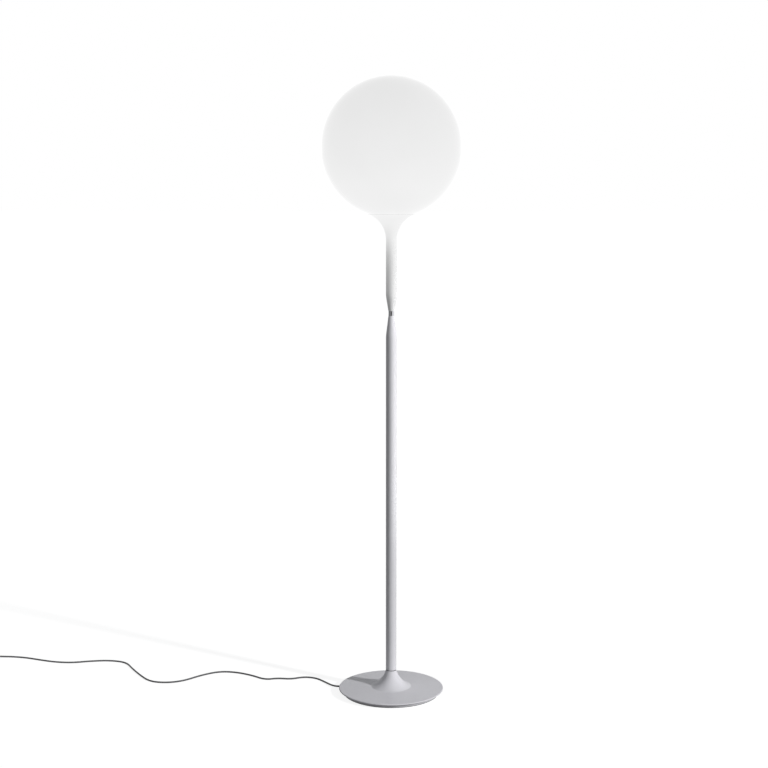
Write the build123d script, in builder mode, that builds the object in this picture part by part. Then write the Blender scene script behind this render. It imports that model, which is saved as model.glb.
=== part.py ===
from build123d import *
from math import asin, cos, degrees, pi, radians, sin, sqrt, tan
import os

# Globe floor lamp: a heavy round base, a slim stem that is pinched at a slotted neck, an opal globe that
# runs smoothly into the stem's flared top, and a foot switch on the mains lead.
# Millimetres, +Z up, origin on the floor at the middle of the base. From the front, +X is right, +Y is away.

# ---------------------------------------------------------------- driving dimensions
# Gaps, each on the radius or on one side
FIT_GAP = 0.1  # between parts pushed together
THREAD_GAP = 0.05  # between a screw and its hole
MOVE_GAP = 0.3  # between parts that move past each other

# Globe and the flare below it
GLOBE_DIA = 420
GLOBE_WALL = 3
FLARE_RADIUS = 81.5
SEAM_GAP = 1.0  # height of the line between globe and flare
GASKET_INSET = 0.5

# Stem
STEM_DIA = 32.5
STEM_WALL = 2
SHELL_WALL = 2.5
LOWER_STEM_LENGTH = 1104.7
LOWER_TAPER_LENGTH = 60
UPPER_TAPER_LENGTH = 45
UPPER_STRAIGHT_LENGTH = 168.5
NECK_DIA = 16.8
NECK_LENGTH = 15
TIP_LIP = 0.4  # how far a stem's tip stands proud of the neck
SLOT_WIDTH = 3.2
SPIGOT_DIA = 10
LOWER_SPIGOT_LENGTH = 20
UPPER_SPIGOT_LENGTH = 28
TIP_PLUG_LENGTH = 26
INNER_TUBE_WALL = 2
INNER_TUBE_LIFT = 6  # from the neck's shoulder to the tube's end
SPACER_HEIGHT = 6
SPACER_FROM_END = 6  # from an end of the upper stem's straight stretch

# Base
BASE_DIA = 324
RIM_EDGE = 3
RIM_ROUND = 1.1
TOP_WALL = 3.8
DISH_RISE = 3.6
CONE_FOOT_DIA = 124
CONE_HEIGHT = 51.2
CONE_SAG = 8  # how far the cone's side bows in from a straight line
CONE_LIP = 0.3  # how far the cone's top stands proud of the stem
FOOT_DIA = 296
FOOT_WIDTH = 7
FOOT_THICK = 1.6
UNDERCUT_LEDGE = 4.5
UNDERCUT_SAG = 2.2
COVER_THICK = 1.5
BALLAST_DIA = 256
BALLAST_THICK = 8.6
BALLAST_LIFT = 0.5  # room between the cover and the ballast
BALLAST_HOLE_DIA = 100
BALLAST_SLOT_WIDTH = 12
CAVITY_FOOT_DIA = 84
CAVITY_TOP_DIA = 38
CAVITY_HEIGHT = 33
STUD_DIA = 20
STUD_HOLE_DIA = 8
FOOT_PLUG_LENGTH = 30
STUD_TAIL = 4  # thread left below the nut
NUT_ACROSS_FLATS = 30
NUT_HEIGHT = 9
WASHER_DIA = 36
WASHER_THICK = 2

# Base screws, all countersunk
COVER_SCREW_COUNT = 6
COVER_SCREW_DIA = 4
COVER_SCREW_LENGTH = 8
BALLAST_SCREW_COUNT = 3
BALLAST_SCREW_DIA = 6
BALLAST_SCREW_BITE = 4.5
BALLAST_SCREW_CIRCLE_DIA = 180
HEAD_RATIO = 1.75  # countersunk head over thread

# Lampholder
HOLDER_DIA = 38
HOLDER_WALL = 2.5
HOLDER_CAP_HEIGHT = 16
HOLDER_CAP_WALL = 3.5
HOLDER_FLOOR = 3
SKIRT_BELOW = 14  # from the cap to the flange's top
SKIRT_ABOVE = 22
FLANGE_DIA = 46
FLANGE_THICK = 2.5
CORE_THICK = 7
CORE_SINK = 4  # core's top below the flange's top
NIPPLE_BORE_DIA = 6.8
NIPPLE_BELOW = 15
NIPPLE_ABOVE = 8
LOCKNUT_ACROSS_FLATS = 14
LOCKNUT_HEIGHT = 3
SHADE_RING_DIA = 48
SHADE_RING_HEIGHT = 5
CONTACT_THICK = 0.6
CONTACT_WIDTH = 5
CENTRE_CONTACT_LENGTH = 14
CENTRE_CONTACT_RISE = 4
CENTRE_CONTACT_SLOPE_INSET = 1.8  # inner corner of its rising leg
SLEEVE_THICK = 0.5
SLEEVE_DROP = 1.5  # its top below the holder's mouth
TERMINAL_DIA = 3
TERMINAL_LENGTH = 6
TERMINAL_SPREAD = 18

# Globe seat
SPIDER_THICK = 2.5
SPIDER_ARM_WIDTH = 8
SPIDER_ARM_COUNT = 3
SPIDER_RING_WIDTH = 14
SPIGOT_RING_WIDTH = 2
SPIGOT_RING_HEIGHT = 6
CLIP_COUNT = 3
CLIP_LENGTH = 18
CLIP_WIDTH = 12
CLIP_THICK = 1.2
CLIP_REACH = 6  # past the edge of the glass's mouth
CLIP_SCREW_DIA = 3
CLIP_SCREW_HEAD_DIA = 5.6
CLIP_SCREW_HEAD_HEIGHT = 1.8

# Bulb
BULB_DIA = 60
BULB_WALL = 1
BULB_NECK_DIA = 26
BULB_FLARE_RADIUS = 50
BULB_CAP_DIA = 26.2
BULB_CAP_HEIGHT = 22
BULB_CAP_WALL = 0.8
BULB_TIP_DIA = 9
BULB_TIP_HEIGHT = 2
BULB_INSULATOR_HEIGHT = 3
BULB_STAND_OFF = 1.5  # glass neck above the holder's mouth
MOUNT_DIA = 7
MOUNT_HEIGHT = 42
FILAMENT_COUNT = 4
FILAMENT_DIA = 1.6
FILAMENT_LENGTH = 34
FILAMENT_CIRCLE_DIA = 16

# Mains lead
CORD_DIA = 5.4
LEAD_BEND_RADIUS = 24
GLAND_ANGLE = 170
GLAND_RAISE = 6.0  # its axis above the casting's underside
GLAND_NECK_DIA = 8
GLAND_HEAD_DIA = 8.8
GLAND_HEAD_LENGTH = 4
GLAND_TAIL_DIA = 6.6
GLAND_TAIL_INSET = 4  # how far its tail ends inside the rim's edge
RUN_SHARE = 0.45  # share of a run that the arc at its end takes

# Foot switch
SWITCH_X, SWITCH_Y = -1385, 335
SWITCH_HEADING = 180
SWITCH_LENGTH = 80
SWITCH_WIDTH = 42
SWITCH_CORNER = 17
SWITCH_TRAY_HEIGHT = 7
SWITCH_COVER_HEIGHT = 14
SWITCH_WALL = 2
SWITCH_ROUND = 4
SWITCH_FOOT_ROUND = 1
PEDAL_DIA = 26
PEDAL_FLANGE = 2
PEDAL_FLANGE_THICK = 1.6
PEDAL_PROUD = 4
PEDAL_ROUND = 1.2
BLOCK_LENGTH = 36
BLOCK_WIDTH = 22
BLOCK_HEIGHT = 7
SPRING_DIA = 12
SPRING_WIRE_DIA = 0.9
SPRING_TURNS = 4
STRIP_LENGTH = 12
STRIP_WIDTH = 4
STRIP_THICK = 0.8
STRIP_SPREAD = 26
WIRE_DIA = 2.2
WIRE_SPREAD = 3.2
SWITCH_SCREW_DIA = 3
SWITCH_SCREW_LENGTH = 14
SWITCH_SCREW_SPAN_X = 52
SWITCH_SCREW_SPAN_Y = 26
BOSS_DIA = 6.4
RELIEF_LENGTH = 22
RELIEF_ROOT_DIA = 9
RELIEF_TAIL_DIA = 6.8
RELIEF_HEAD_DIA = 9.8
RELIEF_HEAD_LENGTH = 3

# Coil of the lead that is put away
COIL_X, COIL_Y = -1455, 240
COIL_OUTER_DIA = 76.6
COIL_INNER_DIA = 43.4
COIL_HEIGHT = 10.4
COIL_ROUND = 2.6

# Plug
PLUG_X, PLUG_Y = -1477, 163
PLUG_HEADING = 280
PLUG_LENGTH = 36
PLUG_FACE_WIDTH = 35
PLUG_FACE_HEIGHT = 14
PLUG_TAIL_WIDTH = 15
PLUG_TAIL_HEIGHT = 12
PLUG_ROUND = 4
PIN_DIA = 4
PIN_LENGTH = 19
PIN_SPACING = 19
PIN_SLEEVE_LENGTH = 10
PIN_SLEEVE_WALL = 0.35
PIN_ROUND = 1

# ---------------------------------------------------------------- heights and radii that follow
stem_r = STEM_DIA / 2
neck_r = NECK_DIA / 2
tip_r = neck_r + TIP_LIP
globe_r = GLOBE_DIA / 2
cord_r = CORD_DIA / 2
spigot_r = SPIGOT_DIA / 2

cover_z = FOOT_THICK
ballast_z = cover_z + COVER_THICK + BALLAST_LIFT
pocket_z = ballast_z + BALLAST_THICK
rim_z = pocket_z + TOP_WALL
cone_foot_z = rim_z + DISH_RISE
cone_top_z = cone_foot_z + CONE_HEIGHT
cavity_z = pocket_z + CAVITY_HEIGHT
gland_z = cover_z + GLAND_RAISE

neck_low_z = cone_top_z + LOWER_STEM_LENGTH
neck_high_z = neck_low_z + NECK_LENGTH
upper_straight_z = neck_high_z + UPPER_TAPER_LENGTH
flare_z = upper_straight_z + UPPER_STRAIGHT_LENGTH


def flare_angle(tube_r, flare_r, ball_r):
    """Angle at a ball's centre, from straight down to where a flare of this radius runs into it."""
    return asin((tube_r + flare_r) / (ball_r + flare_r))


def flare_inside(depth_z):
    """Radius of the flare's inner face at a height."""
    return stem_r + FLARE_RADIUS - sqrt((FLARE_RADIUS + SHELL_WALL) ** 2 - (depth_z - flare_z) ** 2)


seam_angle = flare_angle(stem_r, FLARE_RADIUS, globe_r)
globe_z = flare_z + (globe_r + FLARE_RADIUS) * cos(seam_angle)
seat_z = flare_z + FLARE_RADIUS * cos(seam_angle)
seam_r = globe_r * sin(seam_angle)
mouth_z = seat_z + SEAM_GAP
mouth_r = sqrt((globe_r - GLOBE_WALL) ** 2 - (globe_z - mouth_z) ** 2)

flange_z = seat_z - SPIDER_THICK
holder_r = HOLDER_DIA / 2
skirt_z = flange_z - SKIRT_BELOW
holder_z = skirt_z - HOLDER_CAP_HEIGHT
holder_top_z = flange_z + SKIRT_ABOVE
core_z = flange_z - CORE_SINK - CORE_THICK
core_top_z = core_z + CORE_THICK
socket_r = BULB_CAP_DIA / 2 + MOVE_GAP
sleeve_r = socket_r + SLEEVE_THICK

# ---------------------------------------------------------------- shared shapes


def turned(*outline, mode=Mode.ADD):
    """Turn a closed outline of (radius, height) points about the lamp's axis."""
    with BuildSketch(Plane.XZ) as section:
        with BuildLine():
            Polyline(*outline, close=True)
        make_face()
    revolve(section.sketch, axis=Axis.Z, mode=mode)


def turned_along(frame, *outline, mode=Mode.ADD):
    """Turn a closed outline of (distance, radius) points about the frame's x axis."""
    with BuildSketch(frame) as section:
        with BuildLine():
            Polyline(*outline, close=True)
        make_face()
    revolve(section.sketch, axis=Axis(frame.origin, frame.x_dir), mode=mode)


def lying(x, y, z, heading):
    """An upright frame whose x axis points along a heading in degrees from +X, and whose y axis is up."""
    along = Vector(cos(radians(heading)), sin(radians(heading)), 0)
    return Plane(origin=(x, y, z), x_dir=along, z_dir=along.cross(Vector(0, 0, 1)))


def flat_at(x, y, z, heading):
    """A level frame whose x axis points along a heading in degrees from +X."""
    return Plane(origin=(x, y, z), x_dir=(cos(radians(heading)), sin(radians(heading)), 0), z_dir=(0, 0, 1))


def countersunk(screw_dia, length, gap=0):
    """A flat-headed screw that points up from height 0, or with a gap, the hole for it."""
    screw_r = screw_dia / 2 + gap
    head_r = screw_dia / 2 * HEAD_RATIO + gap
    with BuildPart() as screw:
        turned((0, 0), (head_r, 0), (screw_r, head_r - screw_r), (screw_r, length + gap), (0, length + gap))
    return screw.part


def save(piece, name):
    piece.part.label = name
    export_step(piece.part, f"parts/{name}.step")


os.makedirs("parts", exist_ok=True)

# ---------------------------------------------------------------- base
foot_r = FOOT_DIA / 2
base_r = BASE_DIA / 2
cover_r = foot_r - FOOT_WIDTH
ballast_r = BALLAST_DIA / 2
cover_screw_circle_r = (cover_r + ballast_r) / 2
cone_top_r = stem_r + CONE_LIP
rim_low_z = rim_z - RIM_EDGE
gland_frame = lying(0, 0, gland_z, GLAND_ANGLE)
ballast_screw_length = BALLAST_THICK + BALLAST_SCREW_BITE
cover_screw = countersunk(COVER_SCREW_DIA, COVER_SCREW_LENGTH)
cover_screw_hole = countersunk(COVER_SCREW_DIA, COVER_SCREW_LENGTH, THREAD_GAP)
ballast_screw = countersunk(BALLAST_SCREW_DIA, ballast_screw_length)
ballast_screw_hole = countersunk(BALLAST_SCREW_DIA, ballast_screw_length, THREAD_GAP)

with BuildPart() as base_casting:
    with BuildSketch(Plane.XZ) as base_outline:
        with BuildLine():
            Line((0, cone_top_z), (cone_top_r, cone_top_z))
            SagittaArc((cone_top_r, cone_top_z), (CONE_FOOT_DIA / 2, cone_foot_z), -CONE_SAG)
            Line((CONE_FOOT_DIA / 2, cone_foot_z), (base_r, rim_z))
            Line((base_r, rim_z), (base_r, rim_low_z))
            Line((base_r, rim_low_z), (base_r - UNDERCUT_LEDGE, rim_low_z))
            SagittaArc((base_r - UNDERCUT_LEDGE, rim_low_z), (foot_r, cover_z), -UNDERCUT_SAG)
            Line((foot_r, cover_z), (0, cover_z))
            Line((0, cover_z), (0, cone_top_z))
        make_face()
        fillet(base_outline.vertices().group_by(Axis.X)[-1], RIM_ROUND)
    revolve(axis=Axis.Z)
    turned(
        (0, cover_z),
        (cover_r, cover_z),
        (cover_r, cover_z + COVER_THICK),
        (ballast_r + MOVE_GAP, cover_z + COVER_THICK),
        (ballast_r + MOVE_GAP, pocket_z),
        (CAVITY_FOOT_DIA / 2, pocket_z),
        (CAVITY_TOP_DIA / 2, cavity_z),
        (STUD_DIA / 2 + FIT_GAP, cavity_z),
        (STUD_DIA / 2 + FIT_GAP, cone_top_z),
        (0, cone_top_z),
        mode=Mode.SUBTRACT,
    )
    with Locations(Plane.XY.offset(cover_z)):
        with PolarLocations(cover_screw_circle_r, COVER_SCREW_COUNT):
            add(cover_screw_hole, mode=Mode.SUBTRACT)
    with Locations(Plane.XY.offset(ballast_z)):
        with PolarLocations(BALLAST_SCREW_CIRCLE_DIA / 2, BALLAST_SCREW_COUNT):
            add(ballast_screw_hole, mode=Mode.SUBTRACT)
    with BuildSketch(Plane(gland_frame.origin, x_dir=gland_frame.z_dir, z_dir=gland_frame.x_dir)):
        Circle(GLAND_NECK_DIA / 2)
    extrude(amount=base_r, mode=Mode.SUBTRACT)
save(base_casting, "base_casting")

with BuildPart() as ballast_plate:
    with BuildSketch(Plane.XY.offset(ballast_z)):
        Circle(ballast_r)
        Circle(BALLAST_HOLE_DIA / 2, mode=Mode.SUBTRACT)
        with Locations(Location((0, 0, 0), (0, 0, GLAND_ANGLE))):
            Rectangle(base_r, BALLAST_SLOT_WIDTH, align=(Align.MIN, Align.CENTER), mode=Mode.SUBTRACT)
    extrude(amount=BALLAST_THICK)
    with Locations(Plane.XY.offset(ballast_z)):
        with PolarLocations(BALLAST_SCREW_CIRCLE_DIA / 2, BALLAST_SCREW_COUNT):
            add(ballast_screw_hole, mode=Mode.SUBTRACT)
save(ballast_plate, "ballast_plate")

with BuildPart(Plane.XY.offset(ballast_z)) as ballast_screws:
    with PolarLocations(BALLAST_SCREW_CIRCLE_DIA / 2, BALLAST_SCREW_COUNT):
        add(ballast_screw)
save(ballast_screws, "ballast_screws")

with BuildPart() as base_cover:
    with BuildSketch(Plane.XY.offset(cover_z)):
        Circle(cover_r - FIT_GAP)
    extrude(amount=COVER_THICK)
    with Locations(Plane.XY.offset(cover_z)):
        with PolarLocations(cover_screw_circle_r, COVER_SCREW_COUNT):
            add(cover_screw_hole, mode=Mode.SUBTRACT)
save(base_cover, "base_cover")

with BuildPart(Plane.XY.offset(cover_z)) as cover_screws:
    with PolarLocations(cover_screw_circle_r, COVER_SCREW_COUNT):
        add(cover_screw)
save(cover_screws, "cover_screws")

with BuildPart() as foot_ring:
    with BuildSketch():
        Circle(foot_r)
        Circle(cover_r, mode=Mode.SUBTRACT)
    extrude(amount=FOOT_THICK)
save(foot_ring, "foot_ring")

# The strain relief grips the lead in the casting's skirt and tapers out past the rim.
gland_head_out = ballast_r
gland_root = foot_r
gland_end = base_r - GLAND_TAIL_INSET
lead_hole_r = cord_r + THREAD_GAP
with BuildPart() as strain_relief:
    turned_along(
        gland_frame,
        (gland_head_out - GLAND_HEAD_LENGTH, lead_hole_r),
        (gland_head_out - GLAND_HEAD_LENGTH, GLAND_HEAD_DIA / 2),
        (gland_head_out, GLAND_HEAD_DIA / 2),
        (gland_head_out, GLAND_NECK_DIA / 2 - FIT_GAP),
        (gland_root, GLAND_NECK_DIA / 2 - FIT_GAP),
        (gland_end, GLAND_TAIL_DIA / 2),
        (gland_end, lead_hole_r),
    )
save(strain_relief, "strain_relief")

# ---------------------------------------------------------------- stem clamp
washer_z = cavity_z - WASHER_THICK
nut_z = washer_z - NUT_HEIGHT
stud_end_z = nut_z - STUD_TAIL

with BuildPart() as clamp_washer:
    with BuildSketch(Plane.XY.offset(washer_z)):
        Circle(WASHER_DIA / 2)
        Circle(STUD_DIA / 2 + FIT_GAP, mode=Mode.SUBTRACT)
    extrude(amount=WASHER_THICK)
save(clamp_washer, "clamp_washer")

with BuildPart() as clamp_nut:
    with BuildSketch(Plane.XY.offset(nut_z)):
        RegularPolygon(NUT_ACROSS_FLATS / 2, 6, major_radius=False)
        Circle(STUD_DIA / 2 + THREAD_GAP, mode=Mode.SUBTRACT)
    extrude(amount=NUT_HEIGHT)
save(clamp_nut, "clamp_nut")

with BuildPart() as stem_foot_plug:
    turned(
        (STUD_HOLE_DIA / 2, stud_end_z),
        (STUD_DIA / 2, stud_end_z),
        (STUD_DIA / 2, cone_top_z),
        (stem_r - STEM_WALL - FIT_GAP, cone_top_z),
        (stem_r - STEM_WALL - FIT_GAP, cone_top_z + FOOT_PLUG_LENGTH),
        (STUD_HOLE_DIA / 2, cone_top_z + FOOT_PLUG_LENGTH),
    )
save(stem_foot_plug, "stem_foot_plug")

# ---------------------------------------------------------------- stem
lower_taper_z = neck_low_z - LOWER_TAPER_LENGTH
tube_bore_r = stem_r - STEM_WALL
tip_bore_r = tip_r - STEM_WALL

with BuildPart() as lower_stem:
    turned(
        (tube_bore_r, cone_top_z),
        (stem_r, cone_top_z),
        (stem_r, lower_taper_z),
        (tip_r, neck_low_z),
        (tip_bore_r, neck_low_z),
        (tube_bore_r, lower_taper_z),
    )
save(lower_stem, "lower_stem")

tip_plug_z = neck_low_z - TIP_PLUG_LENGTH
tip_plug_foot_r = tip_bore_r + (tube_bore_r - tip_bore_r) * TIP_PLUG_LENGTH / LOWER_TAPER_LENGTH
with BuildPart() as stem_tip_plug:
    turned(
        (spigot_r + THREAD_GAP, tip_plug_z),
        (tip_plug_foot_r - FIT_GAP, tip_plug_z),
        (tip_bore_r - FIT_GAP, neck_low_z),
        (spigot_r + THREAD_GAP, neck_low_z),
    )
save(stem_tip_plug, "stem_tip_plug")

nipple_bore_r = NIPPLE_BORE_DIA / 2
with BuildPart() as neck_coupling:
    turned(
        (nipple_bore_r, neck_low_z - LOWER_SPIGOT_LENGTH),
        (spigot_r, neck_low_z - LOWER_SPIGOT_LENGTH),
        (spigot_r, neck_low_z),
        (neck_r, neck_low_z),
        (neck_r, neck_high_z),
        (spigot_r, neck_high_z),
        (spigot_r, neck_high_z + UPPER_SPIGOT_LENGTH),
        (nipple_bore_r, neck_high_z + UPPER_SPIGOT_LENGTH),
    )
    with BuildSketch(Plane.XY.offset(neck_low_z)):
        Rectangle(SLOT_WIDTH, NECK_DIA, align=(Align.CENTER, Align.MAX))
    extrude(amount=NECK_LENGTH, mode=Mode.SUBTRACT)
save(neck_coupling, "neck_coupling")

# One translucent moulding: tip, straight and the flare that the globe runs into.
shell_bore_r = stem_r - SHELL_WALL
shell_tip_bore_r = tip_r - SHELL_WALL
flare_centre = (stem_r + FLARE_RADIUS, flare_z)
outer_sweep = 90 - degrees(seam_angle)
inner_sweep = degrees(asin((seat_z - flare_z) / (FLARE_RADIUS + SHELL_WALL)))
with BuildPart() as upper_stem:
    with BuildSketch(Plane.XZ):
        with BuildLine():
            outside = CenterArc(flare_centre, FLARE_RADIUS, 180, -outer_sweep)
            inside = CenterArc(flare_centre, FLARE_RADIUS + SHELL_WALL, 180, -inner_sweep)
            Line(outside @ 1, inside @ 1)
            Polyline(
                outside @ 0,
                (stem_r, upper_straight_z),
                (tip_r, neck_high_z),
                (shell_tip_bore_r, neck_high_z),
                (shell_bore_r, upper_straight_z),
                inside @ 0,
            )
        make_face()
    revolve(axis=Axis.Z)
save(upper_stem, "upper_stem")

inner_tube_r = spigot_r + THREAD_GAP + INNER_TUBE_WALL
with BuildPart() as inner_tube:
    turned(
        (spigot_r + THREAD_GAP, neck_high_z + INNER_TUBE_LIFT),
        (inner_tube_r, neck_high_z + INNER_TUBE_LIFT),
        (inner_tube_r, holder_z),
        (spigot_r + THREAD_GAP, holder_z),
    )
save(inner_tube, "inner_tube")

with BuildPart() as centring_rings:
    for ring_z in (upper_straight_z + SPACER_FROM_END, flare_z - SPACER_FROM_END - SPACER_HEIGHT):
        turned(
            (inner_tube_r + FIT_GAP, ring_z),
            (shell_bore_r - FIT_GAP, ring_z),
            (shell_bore_r - FIT_GAP, ring_z + SPACER_HEIGHT),
            (inner_tube_r + FIT_GAP, ring_z + SPACER_HEIGHT),
        )
save(centring_rings, "centring_rings")

# The lead inside the lamp, from its strain relief through the base and up the stem to the lampholder.
lead_top_z = skirt_z - HOLDER_FLOOR
gland_out = gland_frame.x_dir
lead_start = Vector(0, 0, gland_z) + gland_out * gland_end
lead_corner = Vector(0, 0, gland_z)
lead_top = Vector(0, 0, lead_top_z)
with BuildPart() as internal_lead:
    with BuildLine():
        FilletPolyline(lead_start, lead_corner, lead_top, radius=LEAD_BEND_RADIUS)
    with BuildSketch(Plane(lead_start, z_dir=gland_out)):
        Circle(cord_r)
    sweep()
save(internal_lead, "internal_lead")

# ---------------------------------------------------------------- lampholder
with BuildPart() as holder_nipple:
    turned(
        (nipple_bore_r, holder_z - NIPPLE_BELOW),
        (spigot_r, holder_z - NIPPLE_BELOW),
        (spigot_r, holder_z + NIPPLE_ABOVE),
        (nipple_bore_r, holder_z + NIPPLE_ABOVE),
    )
save(holder_nipple, "holder_nipple")

with BuildPart() as holder_locknut:
    with BuildSketch(Plane.XY.offset(holder_z + HOLDER_FLOOR)):
        RegularPolygon(LOCKNUT_ACROSS_FLATS / 2, 6, major_radius=False)
        Circle(spigot_r + THREAD_GAP, mode=Mode.SUBTRACT)
    extrude(amount=LOCKNUT_HEIGHT)
save(holder_locknut, "holder_locknut")

with BuildPart() as lampholder_cap:
    turned(
        (spigot_r + THREAD_GAP, holder_z),
        (holder_r, holder_z),
        (holder_r, skirt_z),
        (holder_r - HOLDER_CAP_WALL, skirt_z),
        (holder_r - HOLDER_CAP_WALL, holder_z + HOLDER_FLOOR),
        (spigot_r + THREAD_GAP, holder_z + HOLDER_FLOOR),
    )
save(lampholder_cap, "lampholder_cap")

shell_bore = sleeve_r + FIT_GAP
with BuildPart() as lampholder_shell:
    turned(
        (shell_bore, core_z),
        (holder_r - HOLDER_WALL, core_z),
        (holder_r - HOLDER_WALL, skirt_z),
        (holder_r, skirt_z),
        (holder_r, flange_z - FLANGE_THICK),
        (FLANGE_DIA / 2, flange_z - FLANGE_THICK),
        (FLANGE_DIA / 2, flange_z),
        (holder_r, flange_z),
        (holder_r, holder_top_z),
        (shell_bore, holder_top_z),
    )
save(lampholder_shell, "lampholder_shell")

with BuildPart() as lampholder_core:
    turned(
        (0, skirt_z),
        (holder_r - HOLDER_WALL - FIT_GAP, skirt_z),
        (holder_r - HOLDER_WALL - FIT_GAP, core_z),
        (sleeve_r, core_z),
        (sleeve_r, core_top_z),
        (0, core_top_z),
    )
    with BuildSketch(Plane.XY.offset(skirt_z)):
        with GridLocations(TERMINAL_SPREAD, 0, 2, 1):
            Circle(TERMINAL_DIA / 2 + THREAD_GAP)
    extrude(amount=TERMINAL_LENGTH + THREAD_GAP, mode=Mode.SUBTRACT)
save(lampholder_core, "lampholder_core")

with BuildPart() as terminal_screws:
    with BuildSketch(Plane.XY.offset(skirt_z)):
        with GridLocations(TERMINAL_SPREAD, 0, 2, 1):
            Circle(TERMINAL_DIA / 2)
    extrude(amount=TERMINAL_LENGTH)
    with BuildSketch(Plane.XY.offset(skirt_z)):
        with GridLocations(TERMINAL_SPREAD, 0, 2, 1):
            Circle(TERMINAL_DIA * HEAD_RATIO / 2)
    extrude(amount=-TERMINAL_DIA / 2)
save(terminal_screws, "terminal_screws")

with BuildPart() as thread_sleeve:
    turned(
        (socket_r, core_top_z),
        (sleeve_r, core_top_z),
        (sleeve_r, holder_top_z - SLEEVE_DROP),
        (socket_r, holder_top_z - SLEEVE_DROP),
    )
save(thread_sleeve, "thread_sleeve")

# The centre contact is a bent strip that springs up under the bulb's tip.
bulb_tip_z = core_top_z + CENTRE_CONTACT_RISE + CONTACT_THICK + MOVE_GAP
with BuildPart() as centre_contact:
    with BuildSketch(Plane.XZ):
        with BuildLine():
            Polyline(
                (-CENTRE_CONTACT_LENGTH / 2, core_top_z),
                (0, core_top_z),
                (CENTRE_CONTACT_LENGTH / 2, core_top_z + CENTRE_CONTACT_RISE),
                (CENTRE_CONTACT_LENGTH / 2, core_top_z + CENTRE_CONTACT_RISE + CONTACT_THICK),
                (-CONTACT_THICK, core_top_z + CENTRE_CONTACT_RISE + CONTACT_THICK),
                (-CONTACT_THICK, core_top_z + CENTRE_CONTACT_RISE),
                (CENTRE_CONTACT_LENGTH / 2 - CENTRE_CONTACT_SLOPE_INSET, core_top_z + CENTRE_CONTACT_RISE),
                (0, core_top_z + CONTACT_THICK),
                (-CENTRE_CONTACT_LENGTH / 2, core_top_z + CONTACT_THICK),
                close=True,
            )
        make_face()
    extrude(amount=CONTACT_WIDTH / 2, both=True)
save(centre_contact, "centre_contact")

with BuildPart() as shade_ring:
    turned(
        (holder_r + THREAD_GAP, seat_z),
        (SHADE_RING_DIA / 2, seat_z),
        (SHADE_RING_DIA / 2, seat_z + SHADE_RING_HEIGHT),
        (holder_r + THREAD_GAP, seat_z + SHADE_RING_HEIGHT),
    )
save(shade_ring, "shade_ring")

# ---------------------------------------------------------------- globe seat
# A coned ring wedges into the flare's mouth. A hub with three arms is brazed into the ring's bore and is
# clamped to the lampholder.
spider_arc_r = FLARE_RADIUS + SHELL_WALL + FIT_GAP
spider_bore_r = flare_inside(flange_z) - SPIDER_RING_WIDTH
spider_low_angle = degrees(asin((flange_z - flare_z) / spider_arc_r))
spider_high_angle = degrees(asin((seat_z - flare_z) / spider_arc_r))
with BuildPart() as spider_ring:
    with BuildSketch(Plane.XZ):
        with BuildLine():
            wedge = CenterArc(
                flare_centre, spider_arc_r, 180 - spider_low_angle, spider_low_angle - spider_high_angle
            )
            Polyline(
                wedge @ 1,
                (spider_bore_r + SPIGOT_RING_WIDTH, seat_z),
                (spider_bore_r + SPIGOT_RING_WIDTH, seat_z + SPIGOT_RING_HEIGHT),
                (spider_bore_r, seat_z + SPIGOT_RING_HEIGHT),
                (spider_bore_r, flange_z),
                wedge @ 0,
            )
        make_face()
    revolve(axis=Axis.Z)
save(spider_ring, "spider_ring")

with BuildPart() as spider_hub:
    with BuildSketch(Plane.XY.offset(flange_z)):
        with PolarLocations(0, SPIDER_ARM_COUNT):
            Rectangle(
                spider_bore_r + SPIGOT_RING_WIDTH, SPIDER_ARM_WIDTH, align=(Align.MIN, Align.CENTER)
            )
        Circle(spider_bore_r - FIT_GAP, mode=Mode.INTERSECT)
        Circle(SHADE_RING_DIA / 2)
        Circle(holder_r + FIT_GAP, mode=Mode.SUBTRACT)
    extrude(amount=SPIDER_THICK)
save(spider_hub, "spider_hub")

with BuildPart() as seam_gasket:
    with BuildSketch(Plane.XY.offset(seat_z)):
        Circle(seam_r - GASKET_INSET)
        Circle(mouth_r - FIT_GAP, mode=Mode.SUBTRACT)
    extrude(amount=SEAM_GAP)
save(seam_gasket, "seam_gasket")

# ---------------------------------------------------------------- globe
globe_centre = (0, globe_z)
with BuildPart() as globe_glass:
    with BuildSketch(Plane.XZ):
        with Locations(globe_centre):
            Circle(globe_r)
            Circle(globe_r - GLOBE_WALL, mode=Mode.SUBTRACT)
        with Locations((0, mouth_z)):
            Rectangle(GLOBE_DIA, GLOBE_DIA, align=(Align.CENTER, Align.MAX), mode=Mode.SUBTRACT)
        with Locations((0, mouth_z)):
            Rectangle(globe_r, GLOBE_DIA, align=(Align.MAX, Align.MIN), mode=Mode.SUBTRACT)
    revolve(axis=Axis.Z)
save(globe_glass, "globe_glass")

collar_bore_r = spider_bore_r + SPIGOT_RING_WIDTH + MOVE_GAP
collar_r = mouth_r - MOVE_GAP
clip_end_r = mouth_r + CLIP_REACH
clip_corner_r = sqrt(clip_end_r**2 + (CLIP_WIDTH / 2) ** 2)
glass_bore_r = globe_r - GLOBE_WALL
collar_top_z = globe_z - sqrt(glass_bore_r**2 - clip_corner_r**2) + FIT_GAP
clip_screw_r = clip_end_r - CLIP_LENGTH + CLIP_SCREW_HEAD_DIA
with BuildPart() as globe_collar:
    with BuildSketch(Plane.XY.offset(seat_z)):
        Circle(collar_r)
        Circle(collar_bore_r, mode=Mode.SUBTRACT)
        with PolarLocations(clip_screw_r, CLIP_COUNT):
            Circle(CLIP_SCREW_DIA / 2 + THREAD_GAP, mode=Mode.SUBTRACT)
    extrude(amount=collar_top_z - seat_z)
save(globe_collar, "globe_collar")

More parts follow.
